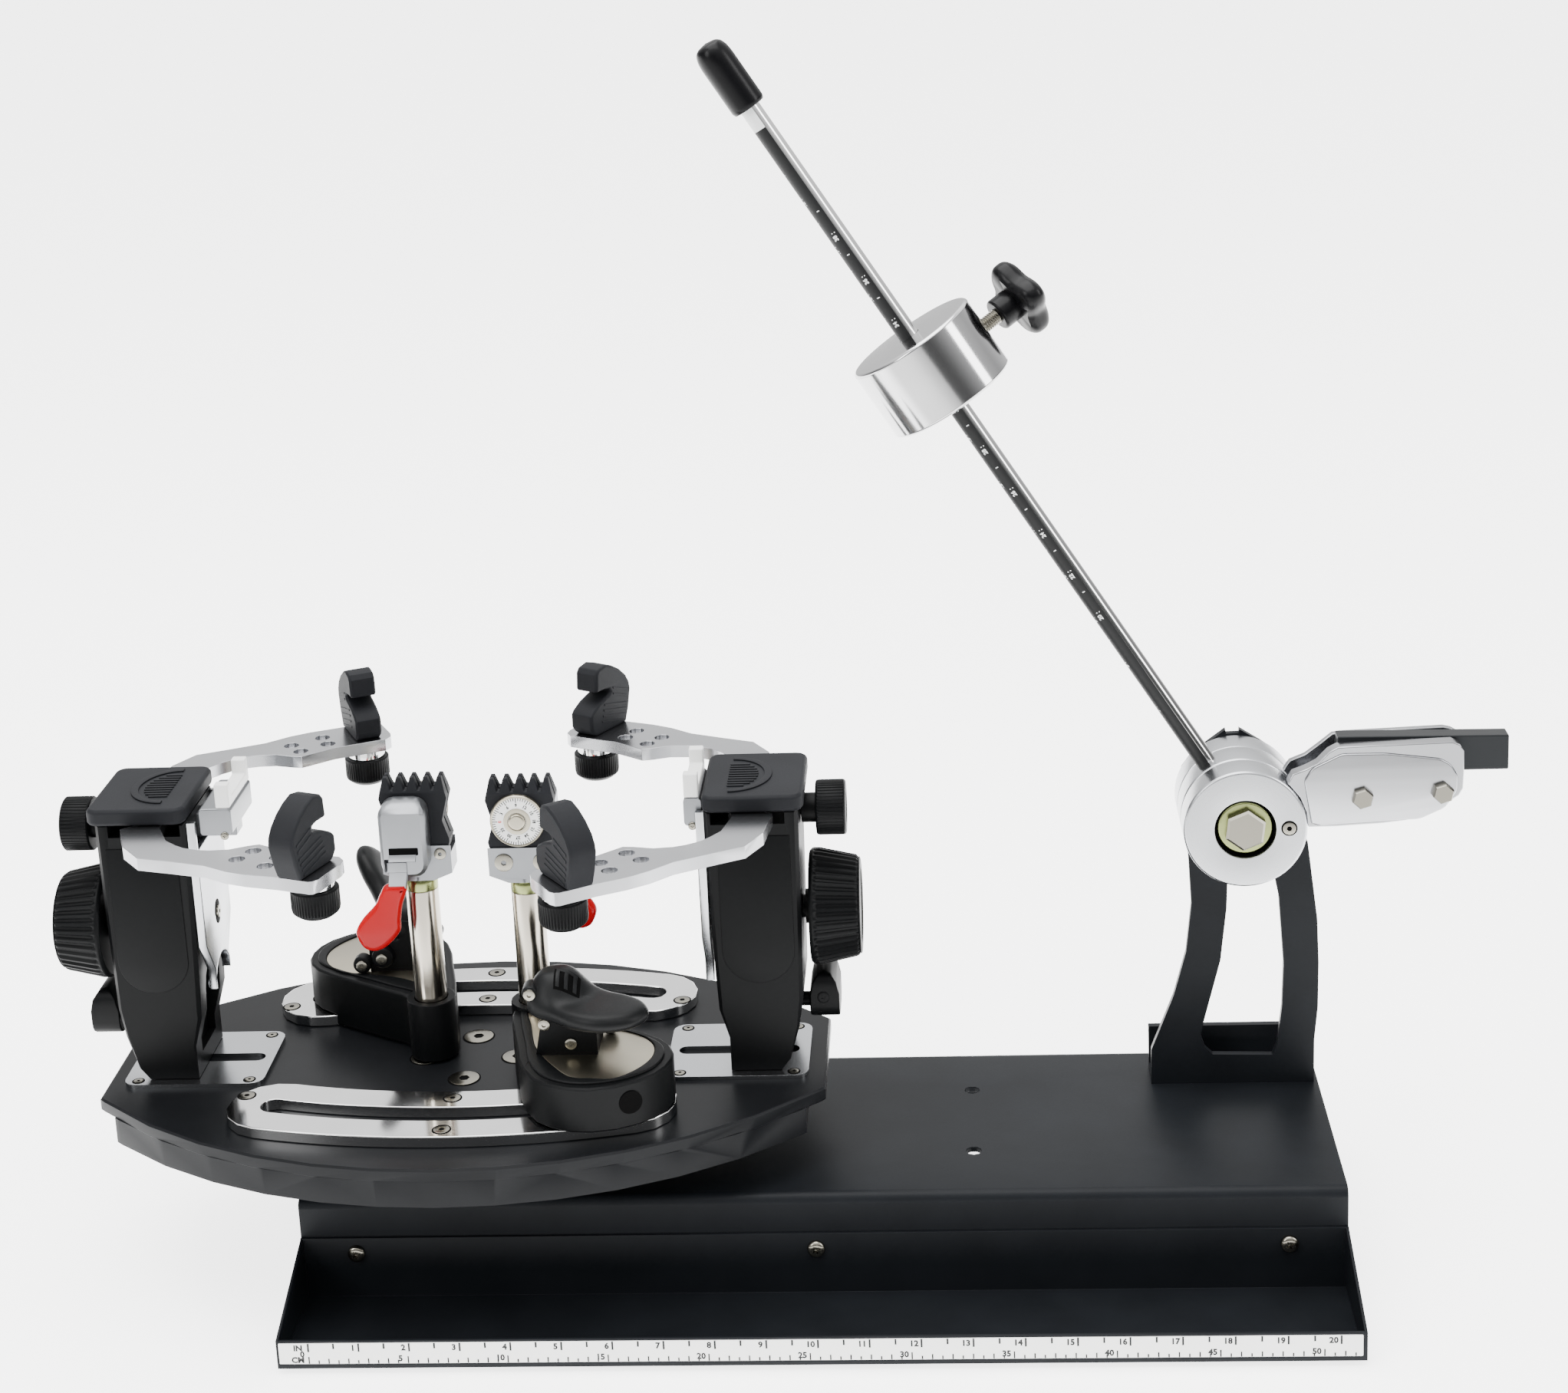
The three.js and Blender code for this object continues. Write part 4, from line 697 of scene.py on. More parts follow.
class STRINGING_OT_base(Dress):
    """Finishes the base channel, tool tray, printed strip, bracket and spindle"""
    bl_idname = "stringing.base"
    bl_label = "Base"

    def execute(self, context):
        sizes = context.scene.stringing_base
        dressed("base_channel", "powder", "base", 0.5)
        dressed("tool_tray", "powder", "base", 0.45)
        dressed("tension_bracket", "powder", "base", 0.4, form=tucked)
        for node in ("foot_left", "foot_right"):
            dressed(node, "rubber", "base", 0.5)
        dressed("spindle", "lacquer", "base", 0.5)
        tray_low, tray_high = span("tool_tray")
        screws = [placed(pan_screw(sizes.screw, 2.8), (HOME[0] + x, tray_high[1] - 1.5, 29.5), -Y, 0.5)
                  for x in (-239.4, -1.0, 238.8)]
        welded("tray_screws", several(screws), "zinc", "base")
        face = tray_low[1] - STRIP_THICK
        strip = slab(box_outline(HOME[0] - 267.2, HOME[0] + 266.3, 5.9, 17.4, 0.6), 0, STRIP_THICK, 0.1)
        piece("measure_strip", upright(strip, face), "vinyl", "base")
        start = HOME[0] - STRIP_ZERO
        marks = []
        for n in range(2 * INCHES + 1):
            x = start + n * sizes.inch / 2
            marks.append(bar(x, 0.45, STRIP_TOP - (3.0 if n % 2 else 4.6), STRIP_TOP, -0.1, 0))
        for n in range(HALF_CENTIMETRES):
            reach = 3.8 if n % 10 == 0 else 2.7 if n % 2 == 0 else 1.8
            marks.append(bar(start + n * 5.0, 0.34, STRIP_FOOT, STRIP_FOOT + reach, -0.1, 0))
        piece("strip_marks", upright(several(marks), face), "ink", "base", angle=30)
        words = [(str(n), start + n * sizes.inch - 2.9 - 0.8 * (n > 9), 14.6) for n in range(1, INCHES + 1)]
        words += [(str(n), start + n * 10 - 3.8, 8.6) for n in range(5, 51, 5)]
        words += [("IN", start - 5.2, 14.6), ("0", start - 3.2, 11.2), ("CM", start - 5.6, 8.0)]
        points, faces = lettering([(text, sizes.figure, x, z, 0.0) for text, x, z in words])
        points = np.stack([points[:, 0], face - points[:, 2], points[:, 1]], -1)
        piece("strip_figures", (points, faces), "ink", "base", angle=30)
        return {"FINISHED"}


class STRINGING_OT_turntable(Dress):
    """Finishes the turntable, its arc rails, slide plates and bolts"""
    bl_idname = "stringing.turntable"
    bl_label = "Turntable"

    def execute(self, context):
        for node, material, edge in (("turntable", "abs", 0.8), ("rail_front", "chrome", 0.9),
                                     ("rail_back", "chrome", 0.9), ("slide_plate_left", "sheet", 0.4),
                                     ("slide_plate_right", "sheet", 0.4)):
            dressed(node, material, "turntable", edge)
        # Place, head radius and sinking of each: the two bolts by the middle, four rail screws, four on the plate
        spots = [((24.75, 0, 0), 8.0, 0), ((0, 24.75, 0), 8.0, 0)]
        spots += [((x, y, 6.3), 4.2, 0.2) for x, y in ((0, 59.1), (0, 93), (109, 53), (-109, 53))]
        spots += [((144.3 + x, y, 2.2), 2.6, 0.2) for x in (-29.9, 29.9) for y in (-26.4, 26.4)]
        bolts, seat_shades = [], []
        for (x, y, z), radius, sunk in spots:
            for side in (-1, 1):
                head = socket_screw(radius, 0.5, radius * 0.64, 0.45)
                bolts.append(placed(head, on_table((x, y, z - sunk), side), Z, x + y))
                # A near-black disc round each head: painted shade of the recess it sits in
                seat_shades.append(placed(disc(radius + 0.8, 0, 0.1), on_table((x, y, z), side), Z))
        welded("turntable_screws", several(bolts), "zinc", "turntable")
        welded("bolt_seat_shade", several(seat_shades), "painted_shade", "turntable")
        return {"FINISHED"}


def ribs(count, height, low, high):
    """Radius with straight ribs between two heights: a flat-topped wave round the axis, faded at both ends."""
    def wave(a, r, h):
        swell = np.clip(np.cos(count * a) * 1.8, -1, 1) * height / 2
        fade = np.clip(np.minimum(h - low, high - h) / height, 0, 1)
        return r + np.where(r > 1, swell * fade - height / 2 * (fade > 0), 0)
    return wave


def cap_marks():
    """Raised curve and thumb ribs on a tower cap, in the tower's side frame: a D-shaped band between two
    ellipses, with bars inside it that end on the inner ellipse."""
    t = np.linspace(-math.pi / 2, math.pi / 2, 25)
    outer, inner = (np.stack([147 + wide * np.cos(t), deep * np.sin(t) - 1], -1)
                    for wide, deep in ((21.5, 25), (17.5, 21.5)))
    parts = [slab(np.concatenate([outer, inner[::-1]]), 0, 0.8, 0.3)]
    for y in np.arange(-16, 15, 3.4):
        reach = 147 + 14.5 * math.sqrt(max(1 - (y / 19) ** 2, 0))
        parts.append(slab(box_outline(146, reach, y - 1.8, y, 0.6, 2), 0, 0.7, 0.3, steps=2))
    points, faces = several(parts)
    points[:, 2] += CAP_TOP
    return points, faces


def tower_panels():
    """Fine-edged panels on a tower's front and back: straight sides closed by half an ellipse."""
    t = np.linspace(math.pi, FULL, 25)
    panel = np.concatenate([[(177.6, 134), (140.2, 134)],
                            np.stack([158.9 + 18.7 * np.cos(t), 71 + 18 * np.sin(t)], -1)])
    return several([upright(slab(panel, 0, 0.6, 0.28), near) for near in (-27.5, 26.9)])


def face_plate():
    """Metal plate on a tower's inner side, with its two horns beside the support and the arch cut out."""
    t = np.linspace(0, math.pi, 13)
    arch = np.stack([14.5 * np.cos(t), 49 + 14.5 * np.sin(t)], -1)
    face = np.concatenate([[(-26, 147), (-26, 78), (-14.5, 60)], arch[::-1],
                           [(14.5, 60), (26, 78), (26, 147), (23, 147), (23, 131), (-23, 131), (-23, 147)]])
    return sideways(slab(face, 0, 4.6, 0.7), TOWER_IN - 4.2)


BIG_KNOB = rounded([(0, -13.6), (6, -13.6), (6, 0.4), (9, 0.4), (9, 3), (28.8, 3), (30.4, 4.6), (30.4, 8),
                    (26.2, 27.6), (24.6, 29.4), (20, 29.4), (19, 28.6), (0, 28.6)],
                   [0, 0, 0, 0, 0, .4, .8, 1.2, 1.2, .8, .4, .4, 0])
SMALL_KNOB = rounded([(0, -21.6), (3.6, -21.6), (3.6, 0.4), (7.7, 0.4), (7.7, 8), (13.6, 8), (14.5, 9),
                      (14.5, 22.5), (13.3, 23.5), (9, 23.5), (8, 23), (0, 23)],
                     [0, 0, 0, .3, 0, .3, .4, .4, .5, .3, .3, 0])
HOOK_GRIP = rounded([(0, 0), (8, 0), (12.2, 3.2), (12.2, 14.6), (11.6, 15), (4.4, 15), (4.4, 15)],
                    [0, 1.5, 1.5, .4, .3, 0, 0])


class STRINGING_OT_towers(Dress):
    """Finishes both mounting towers with their caps, knobs, supports and lock levers"""
    bl_idname = "stringing.towers"
    bl_label = "Towers"

    def execute(self, context):
        sizes = context.scene.stringing_knobs
        for side, sign in SIDES:
            body, support, lock = (f"{word}_{side}" for word in ("tower", "support", "lock_lever"))
            # The body's underside clears the heads of the slide plate's screws
            dressed(body, "nylon", body, 1.2, segments=3,
                    form=lambda points: np.maximum(points, [-1e3, -1e3, TABLE[2] + SCREW_ROOM]))
            dressed(f"cap_{side}", "grey_nylon", body, 0.8)
            dressed(support, "lacquer", support, 0.8)
            dressed(f"yoke_{side}", "white", support, 0.8)
            dressed(lock, "nylon", lock, 0.8)
            out = X * sign

            def here(points, turn=sign):
                return on_table(points, turn)

            piece(f"cap_marks_{side}", moved(cap_marks(), here), "grey_nylon", body)
            piece(f"tower_panels_{side}", moved(tower_panels(), here), "nylon", body)
            piece(f"face_plate_{side}", moved(face_plate(), here), "sheet", body)
            # A thin near-black strip over the face plate's slot: painted shade inside the slot
            slot = sideways(slab(box_outline(-4.2, 4.2, 80.5, 94, 4.1), 0, 0.5, 0.2), TOWER_IN - 4.4)
            piece(f"plate_slot_shade_{side}", moved(slot, here), "painted_shade", body)
            screw = placed(socket_screw(3.4, 1.0, 2.2, 0.8), here((TOWER_IN - 4.3, 0, 87.3)), -out)
            welded(f"plate_screw_{side}", screw, "zinc", body)
            low, high = span(support)
            x = (high if sign < 0 else low)[0] + sign * 4.2
            rivets = [placed(pan_screw(2.2, 0.8), (x, y, low[2] + 6.2), Y * way)
                      for y, way in ((low[1], -1), (high[1], 1))[::sign]]
            welded(f"support_screws_{side}", several(rivets), "zinc", support)
            welded(f"lock_screw_{side}", placed(pan_screw(3.2, 0.5), here((190.5, -12, 37)), Y * -sign, 0.4),
                   "nylon", lock)
            big = revolved(BIG_KNOB, sizes.ribs * 8, ribs(sizes.ribs, sizes.rib * 1.5, 5.5, 28.6))
            welded(f"large_knob_{side}", placed(big, here((TOWER_OUT, 0, 83.6)), out), "nylon",
                   f"big_knob_{side}", f"big_knob_{side}")
            small = revolved(SMALL_KNOB, sizes.knurls * 6, ribs(sizes.knurls, sizes.rib * 0.9, 9, 22.6))
            welded(f"side_knob_{side}", placed(small, here((TOWER_OUT, 0, 138.5)), out), "nylon",
                   f"small_knob_{side}", f"small_knob_{side}")
        return {"FINISHED"}


# Side and end of the machine where each side arm stands, and its hook's own turn at rest in degrees
HOOK_TURNS = {"lf": (-1, -1, 9), "lb": (-1, 1, -4), "rf": (1, -1, 5), "rb": (1, 1, 0)}
ARM_SPREAD = math.radians(60)


def pad_ribs():
    """Fine slanted ribs on both flanks of a hook pad, in its own frame: x towards the racket, z up."""
    parts = []
    for near in (-7.55, 7.05):
        for x0, x1, low in ((-18, 2, 1.5), (-19, 1, 4.5), (-20, 0, 7.5), (-21, -1, 10.5), (-21.5, -9.5, 14.5),
                            (-22, -9.5, 18)):
            line = [(x0, low), (x1, low + 4.6), (x1, low + 5.8), (x0, low + 1.2)]
            parts.append(upright(slab(line, 0, 0.5, 0.2, steps=2), near))
    return several(parts)


class STRINGING_OT_arms(Dress):
    """Finishes the four side arms, hook pads and hook knobs"""
    bl_idname = "stringing.arms"
    bl_label = "Side arms"

    def execute(self, context):
        sizes = context.scene.stringing_knobs
        for code, (side_x, side_y, turn) in HOOK_TURNS.items():
            arm, hook, knob = (f"{word}_{code}" for word in ("arm", "hook", "hook_knob"))
            dressed(arm, "cast", arm, 1.1)
            dressed(hook, "grey_nylon", hook, 1.2, segments=3)
            low, high = span(knob)
            centre = np.array([(low[0] + high[0]) / 2, (low[1] + high[1]) / 2, low[2]])
            inward = math.atan2(-side_y * math.sin(ARM_SPREAD), -side_x * math.cos(ARM_SPREAD))
            points, faces = pad_ribs()
            points[:, :2] = spun(points[:, :2], inward + math.radians(turn))
            seat = np.array([centre[0], centre[1], span(arm)[1][2]])
            piece(f"pad_ribs_{code}", (points + seat, faces), "grey_nylon", hook)
            grip = revolved(HOOK_GRIP, sizes.knurls * 6, ribs(sizes.knurls, sizes.rib * 0.8, 3.6, 14.2))
            welded(f"grip_{code}", placed(grip, centre, Z), "nylon", knob, knob)
            lathe(f"washer_{code}", [(4.4, 15), (10.2, 15), (10.2, 20), (4.4, 20), (4.4, 15)],
                  [0, .4, .4, 0, 0], 48, centre, Z, "chrome", knob)
        return {"FINISHED"}


# Plan outlines of the clamp base, its insert and its cam lever, from the rail key, in millimetres
CLAMP_OUTLINE = np.array([
    (-0.78, 1.046), (-0.63, 0.893), (-0.26, 0.768), (0.18, 0.614), (0.63, 0.461), (0.95, 0.298),
    (1.07, 0.125), (1.05, -0.058), (0.89, -0.24), (0.53, -0.403), (0.05, -0.48), (-0.37, -0.442),
    (-0.73, -0.298), (-0.97, -0.038), (-1.08, 0.24), (-1.21, 0.557), (-1.29, 0.816), (-1.26, 0.989),
    (-1.13, 1.085), (-0.92, 1.104)]) * POST_FROM_KEY
INSERT_OUTLINE = [(-41, 57), (-37, 40), (-34, 25), (-31, 14), (-24, 0), (-10, -19), (2, -22), (14, -22), (25, -11),
                  (31, 3), (29, 17), (18, 29), (4, 33), (-14, 38), (-27, 46), (-34, 57)]
LEVER_OUTLINE = [(-33, 11), (-29, 24), (-17, 29), (-5, 28), (3, 22), (12, 16), (22, 11), (29, 4), (30, -6),
                 (22, -15), (7, -18), (-8, -13), (-21, -3), (-30, 3)]
LEVER_CENTRE = np.array([-3.0, 6.0])
LEVER_MIDDLE = 57.0
LEVER_EDGE = anticlockwise(spline(LEVER_OUTLINE, 120))
LEVER_BOSS = np.array([-30.5, 14, 65.5])
CAM_HINGE = np.array([-12.0, 0.0, 55.0])
# The red lever's outline in its own plane, from the head's lower edge
RED_OUTLINE = np.array([
    (-0.1, -0.25), (-0.16, -0.48), (-0.19, -0.64), (-0.208, -0.773), (-0.338, -0.92), (-0.47, -0.986),
    (-0.594, -0.955), (-0.66, -0.845), (-0.67, -0.75), (-0.59, -0.62), (-0.45, -0.47), (-0.384, -0.34),
    (-0.307, -0.243)]) * 50
CHEEK_CROWN = 45
SHELL_TOP = 145.9
JAW_ROOT = 152.3


def lever_top(p):
    """Height of the cam lever over its plan: a level paddle with a flattened bell over the hinge, falling to the
    outline as the square root of one less the eighth power of the share of the way out to it."""
    edge = LEVER_EDGE - LEVER_CENTRE
    turn = np.arctan2(edge[:, 1], edge[:, 0])
    order = np.argsort(turn)
    way = p - LEVER_CENTRE
    reach = np.interp(np.arctan2(way[..., 1], way[..., 0]), turn[order],
                      np.linalg.norm(edge, axis=1)[order], period=FULL)
    share = np.clip(np.linalg.norm(way, axis=-1) / reach, 0, 1)
    hump = 12.5 * np.exp(-(((p[..., 0] + 20) / 17) ** 2 + ((p[..., 1] - 17) / 15) ** 2) ** 2)
    return LEVER_MIDDLE + (5.5 + hump) * np.sqrt(1 - share ** 8)


def cam_lever():
    """Soft paddle: rings shrink from the outline to the middle over the top and under the bottom."""
    share = np.sin(np.linspace(0.001, math.pi / 2, 20))
    plan = LEVER_CENTRE + share[:, None, None] * (LEVER_EDGE - LEVER_CENTRE)[None]
    under = LEVER_MIDDLE - 5.0 * np.sqrt(1 - share[:, None] ** 8) * np.ones(len(LEVER_EDGE))
    below = np.concatenate([plan, under[..., None]], -1)
    above = np.concatenate([plan, lever_top(plan)[..., None]], -1)[::-1]
    return skin(np.concatenate([below, above[1:]]))


def lever_patch(x0, x1, y0, y1, raise_by, steps=10):
    """A thin patch that lies on the cam lever's top: rings from its rim inwards on the height formula, closed by
    its own underside."""
    x, y = np.meshgrid(np.linspace(x0, x1, steps), np.linspace(y0, y1, steps), indexing="ij")
    plan = np.stack([x, y], -1)
    rim = np.concatenate([plan[:, 0], plan[-1, 1:], plan[-2::-1, -1], plan[0, -2:0:-1]])
    middle = rim.mean(0)
    rows = []
    for share, lift in ((0.0, -1.0), (1.0, -1.0), (1.0, raise_by), (0.66, raise_by), (0.33, raise_by),
                        (0.0, raise_by)):
        ring = middle + share * (rim - middle)
        rows.append(np.concatenate([ring, (lever_top(ring) + lift)[:, None]], -1))
    return skin(np.array(rows))


def lifted(points, degrees):
    """Turns points about the cam lever's hinge, tip upwards."""
    c, s = math.cos(math.radians(degrees)), math.sin(math.radians(degrees))
    p = points - CAM_HINGE
    return np.stack([p[:, 0] * c - p[:, 2] * s, p[:, 1], p[:, 0] * s + p[:, 2] * c], -1) + CAM_HINGE


def lowered(p):
    """The base's cheeks come down to their crown, and its wall's top is drawn in to a sloped shoulder."""
    edge = anticlockwise(spline(CLAMP_OUTLINE, 400))
    tall = p[:, 2] > CLAMP_TOP + 12
    p[:, 2] = np.where(tall, CHEEK_CROWN + (p[:, 2] - CHEEK_CROWN) * 0.62, p[:, 2])
    p[:, 0] = np.where(tall, np.maximum(p[:, 0], -25), p[:, 0])
    gap = np.linalg.norm(p[:, None, :2] - edge[None], axis=2)
    top = (np.abs(p[:, 2] - CLAMP_TOP) < 0.2) & (gap.min(1) < 0.8)
    p[:, :2] -= outward(edge)[gap.argmin(1)] * (top * 4.5)[:, None]
    return p


def domed(p):
    """The head's back slopes in above its shell."""
    back = np.where((p[:, 2] > SHELL_TOP) & (p[:, 1] < -8.5), (p[:, 2] - SHELL_TOP) * 0.95, 0)
    p[:, 1] = np.minimum(p[:, 1] + back, -8.5 + (p[:, 1] > -8.5) * (p[:, 1] + 8.5))
    return p


def thinned(p):
    """The jaw's teeth grow thinner towards their tips."""
    p[:, 1] *= 1 - 0.42 * np.clip((p[:, 2] - JAW_ROOT) / 8.2, 0, 1)
    return p


def frame_at(turn, origin):
    """Ways out of a local frame, for points, and round it, for a change of form. The frame's origin is given, and
    turn is -1 where it stands half a turn round from the machine's own axes."""
    flip = np.array([turn, turn, 1])

    def here(points):
        return np.asarray(points, float) * flip + origin

    def within(form):
        return lambda points: here(form((points - origin) * flip))
    return here, within


class STRINGING_OT_clamps(Dress):
    """Finishes both string clamps with their dials, levers and fasteners"""
    bl_idname = "stringing.clamps"
    bl_label = "String clamps"

    def execute(self, context):
        for side, sign in SIDES:
            self.base(side, sign)
            self.head(side, sign)
            self.dial(side, sign)
        return {"FINISHED"}

    def base(self, side, sign):
        """Base, insert, hinge screws and cam lever, from the rail key's place"""
        low, high = span(f"clamp_post_{side}")
        here, within = frame_at(sign, np.array([(low[0] + high[0]) / 2 + POST_FROM_KEY[0] * sign,
                                                (low[1] + high[1]) / 2 - POST_FROM_KEY[1] * sign, TABLE[2]]))
        body, lever = f"clamp_base_{side}", f"cam_lever_{side}"
        dressed(body, "nylon", body, 1.0, angle=28, form=within(lowered), cuts=[(here((0, 0, CLAMP_TOP - 5)), Z)])
        rim = anticlockwise(spline(CLAMP_OUTLINE, 140))
        rim = rim - outward(rim) * 4.6
        ring = slab(rim, CLAMP_TOP - 1, CLAMP_TOP + 1.2, 0.7, holes=[spline(INSERT_OUTLINE, 120)])
        piece(f"clamp_rim_{side}", moved(ring, here), "nylon", body)
        inner = anticlockwise(spline(INSERT_OUTLINE, 120))
        sheet = slab(inner - outward(inner) * 0.3, CLAMP_TOP - 0.5, CLAMP_TOP + 0.6, 0.2)
        piece(f"clamp_insert_{side}", moved(sheet, here), "insert", body)
        edge = anticlockwise(spline(CLAMP_OUTLINE, 400))
        near = edge[np.argmin(np.abs(edge[:, 0] - 21.5) + 50 * (edge[:, 1] > 0))]
        way = np.array([near[0] - 3, near[1] - 14, 0.0]) * (sign, sign, 1)
        # A near-black disc in the side hole: painted shade in the opening
        welded(f"clamp_hole_shade_{side}", placed(disc(6.1, -1, 0.25), here((near[0], near[1], 20.5)), way), "painted_shade",
               body)
        # Bosses and screws of the hinge, on the two cheeks
        bosses = [placed(boss(radius, tall), here(spot), Y * sign)
                  for radius, tall, spot in ((6, 7, (-5.5, 27, 41)), (5, 6.5, (6, 27, 37)))]
        welded(f"hinge_boss_{side}", several(bosses), "nylon", body)
        heads = [placed(socket_screw(3.1, 1.0, 2.2, 0.8), here(spot), Y * sign * turn) for spot, turn in (
            ((-24.2, 4.9, 48.5), -1), ((-11, 4.9, 38), -1), ((-5.5, 34, 41), 1), ((6, 33.5, 37), 1))]
        welded(f"hinge_screws_{side}", several(heads), "zinc", body)
        ribs_on_hump = [lever_patch(x, x + 1.8, 4.5, 12, 0.6, 4) for x in (-17, -12.7, -8.4)]
        ribs_on_hump.append(lever_patch(-17, -6.6, 11.6, 13.2, 0.6, 5))
        head = socket_screw(3.1, 1.0, 2.2, 0.8)
        lift = LEFT_LIFT if sign < 0 else 0
        for name, part, material, stands_for in (
                ("lever_boss", placed(boss(4.2, 10, 0.6), LEVER_BOSS, -Y), "soft", ()),
                ("lever_screw", placed(head, LEVER_BOSS - Y * 10, -Y), "zinc", ()),
                ("cam_paddle", cam_lever(), "soft", lever),
                # Near-black patch between the hump's ribs: painted shade in the recess
                ("cam_window_shade", lever_patch(-18, -5, 3.5, 14, 0.15), "painted_shade", ()),
                ("cam_ribs", several(ribs_on_hump), "soft", ())):
            raised = moved(part, lambda points: here(lifted(points, lift)))
            welded(f"{name}_{side}", raised, material, lever, stands_for)

    def head(self, side, sign):
        """Post, head, jaw and red lever, from the post's axis; y is towards the dial"""
        low, high = span(f"clamp_post_{side}")
        foot = np.array([(low[0] + high[0]) / 2, (low[1] + high[1]) / 2, TABLE[2]])
        here, within = frame_at(-sign, foot)
        head, lever = f"clamp_{side}", f"clamp_lever_{side}"
        dressed(f"clamp_head_{side}", "lacquer", head, 0.9, segments=3,
                cuts=[(here((0, 0, 146)), Z)], form=within(domed))
        dressed(f"clamp_jaw_{side}", "grey_nylon", head, 0.4,
                cuts=[(here((0, 0, JAW_ROOT)), Z)], form=within(thinned))
        low_z = low[2] - TABLE[2]
        lathe(f"post_{side}", [(0, low_z), (8.6, low_z), (8.6, 97), (0, 97)], [0, .5, .5, 0], 64, foot, Z,
              "nickel", head, f"clamp_post_{side}")
        lathe(f"bushing_{side}", [(4, 97), (8.7, 97), (8.7, 101.5), (8.2, 103.5), (4, 103.5), (4, 97)],
              [0, .4, .6, .3, 0, 0], 56, foot, Z, "passivated", head)
        screws = [placed(socket_screw(4.9, 0.7, 2.7, 1.6), here((x, 8, 115)), Y * -sign, 0.3)
                  for x in (-10.1, 10.1)]
        screws += [placed(socket_screw(3.2, 0.7, 2.0, 0.8), here((12.6, -8, 118.5)), Y * sign)]
        welded(f"head_screws_{side}", several(screws), "zinc", head)
        grip = spline(RED_OUTLINE + (0, 117), 90)
        grip = slab(grip[grip[:, 1] < 105.2], 0, 6.4, 3.0, steps=6)
        piece(f"red_grip_{side}", moved(upright(grip, -18.1), here), "dip", lever, lever, angle=60)
        tongue = [(-14.4, 103), (-13.0, 113), (-13.0, 120.4), (-3.4, 120.4), (-3.4, 113), (-5.0, 103)]
        block = [(-12.1, 119.6), (-11.6, 123.6), (2.6, 123.6), (2.1, 119.6)]
        for name, outline, thick, edge, near, material, body in (
                ("lever_tongue", tongue, 4.4, 0.5, -17.1, "lacquer", lever),
                ("lever_root", box_outline(-13.9, -3.1, 112.5, 118.5, 0.6, 2), 1.8, 0.4, -18.6, "lacquer", lever),
                ("housing_block", block, 1.2, 0.5, -21.8, "lacquer", head),
                # Thin near-black slab over the housing's window: painted shade inside it
                ("housing_window_shade", box_outline(-11.6, 3.8, 123.2, 127.2, 0.5, 2), 0.5, 0.15, -21.3, "painted_shade", head)):
            part = upright(slab(outline, 0, thick, edge), near)
            piece(f"{name}_{side}", moved(part, here), material, body)

    def dial(self, side, sign):
        """Grip dial with its bezel, figures and screw"""
        low, high = span(f"clamp_dial_{side}")
        middle = np.array([(low[0] + high[0]) / 2, low[1] if sign < 0 else high[1], (low[2] + high[2]) / 2])
        way = Y * -sign
        dial = f"clamp_dial_{side}"
        lathe(f"dial_{side}", [(0, 0), (13.9, 0), (13.9, DIAL_FACE), (0, DIAL_FACE)], [0, .2, .2, 0], 72, middle,
              way, "white", dial, dial)
        bezel = rounded([(12.9, 0.2), (14.3, 0.2), (14.3, 2.6), (13.7, 3.2), (12.9, 2.9), (12.9, 0.2)],
                        [0, .3, .4, .3, 0, 0])
        washer = rounded([(4.9, 2.7), (7.1, 2.7), (7.1, 3.3), (4.9, 3.4), (4.9, 2.7)], [0, .2, .2, .2, 0])
        screw = rounded([(0, 2.7), (4.5, 2.7), (4.5, 4.5), (3.6, 5), (0, 5)], [0, .3, .5, .5, 0])
        parts = [placed(revolved(each, 72), middle, way) for each in (bezel, washer, screw)]
        welded(f"dial_rings_{side}", several(parts), "insert", dial)
        marks = []
        for k in range(60):
            half = 1.3 if k % 5 == 0 else 0.75
            points, faces = bar(12.9 - half, half, -0.2, 0.2, DIAL_FACE, DIAL_FACE + PRINT)
            points[:, :2] = spun(points[:, :2], k * FULL / 60)
            marks.append((points, faces))
        piece(f"dial_marks_{side}", placed(several(marks), middle, way), "ink", dial, angle=30)
        for name, chosen, ink in (("dial_zero", (0,), "red_ink"), ("dial_figures", range(1, 12), "ink")):
            words = []
            for k in chosen:
                a = -sign * math.pi / 2 - k * FULL / 12
                words.append((str(k * 3), 2.3, 8.9 * math.cos(a), 8.9 * math.sin(a), a - math.pi / 2))
            points, faces = lettering(words)
            points[:, 2] += DIAL_FACE
            piece(f"{name}_{side}", placed((points, faces), middle, way), ink, dial, angle=30)


def rod_wrap(low, high, steps=24):
    """Printed film on the rod: an arc of the rod's own circle, drawn out along it and closed at its rims. Angle 0
    faces the front, and it grows towards the lower left."""
    a = np.radians(np.linspace(-16, 125, steps))
    out = np.concatenate([a, a[::-1]])
    r = np.concatenate([np.full(steps, FILM_RADIUS), np.full(steps, FILM_RADIUS - 0.4)])
    ring = -(np.cos(out) * r)[:, None] * Y - (np.sin(out) * r)[:, None] * ROD_SIDE
    heart = ring.mean(0)
    rows = [heart + ROD_WAY * low + 0 * ring, ring + ROD_WAY * low, ring + ROD_WAY * high,
            heart + ROD_WAY * high + 0 * ring]
    points, faces = skin(np.array(rows) + ROD_FOOT)
    return points, [f[::-1] for f in faces]


def on_rod(points, degrees):
    """Wraps flat lettering on the film: x runs up along the rod and y round it."""
    radius = FILM_RADIUS + 0.01
    a = math.radians(degrees) + points[:, 1] / radius
    r = radius + points[:, 2]
    return (ROD_FOOT + points[:, :1] * ROD_WAY - (np.cos(a) * r)[:, None] * Y
            - (np.sin(a) * r)[:, None] * ROD_SIDE)


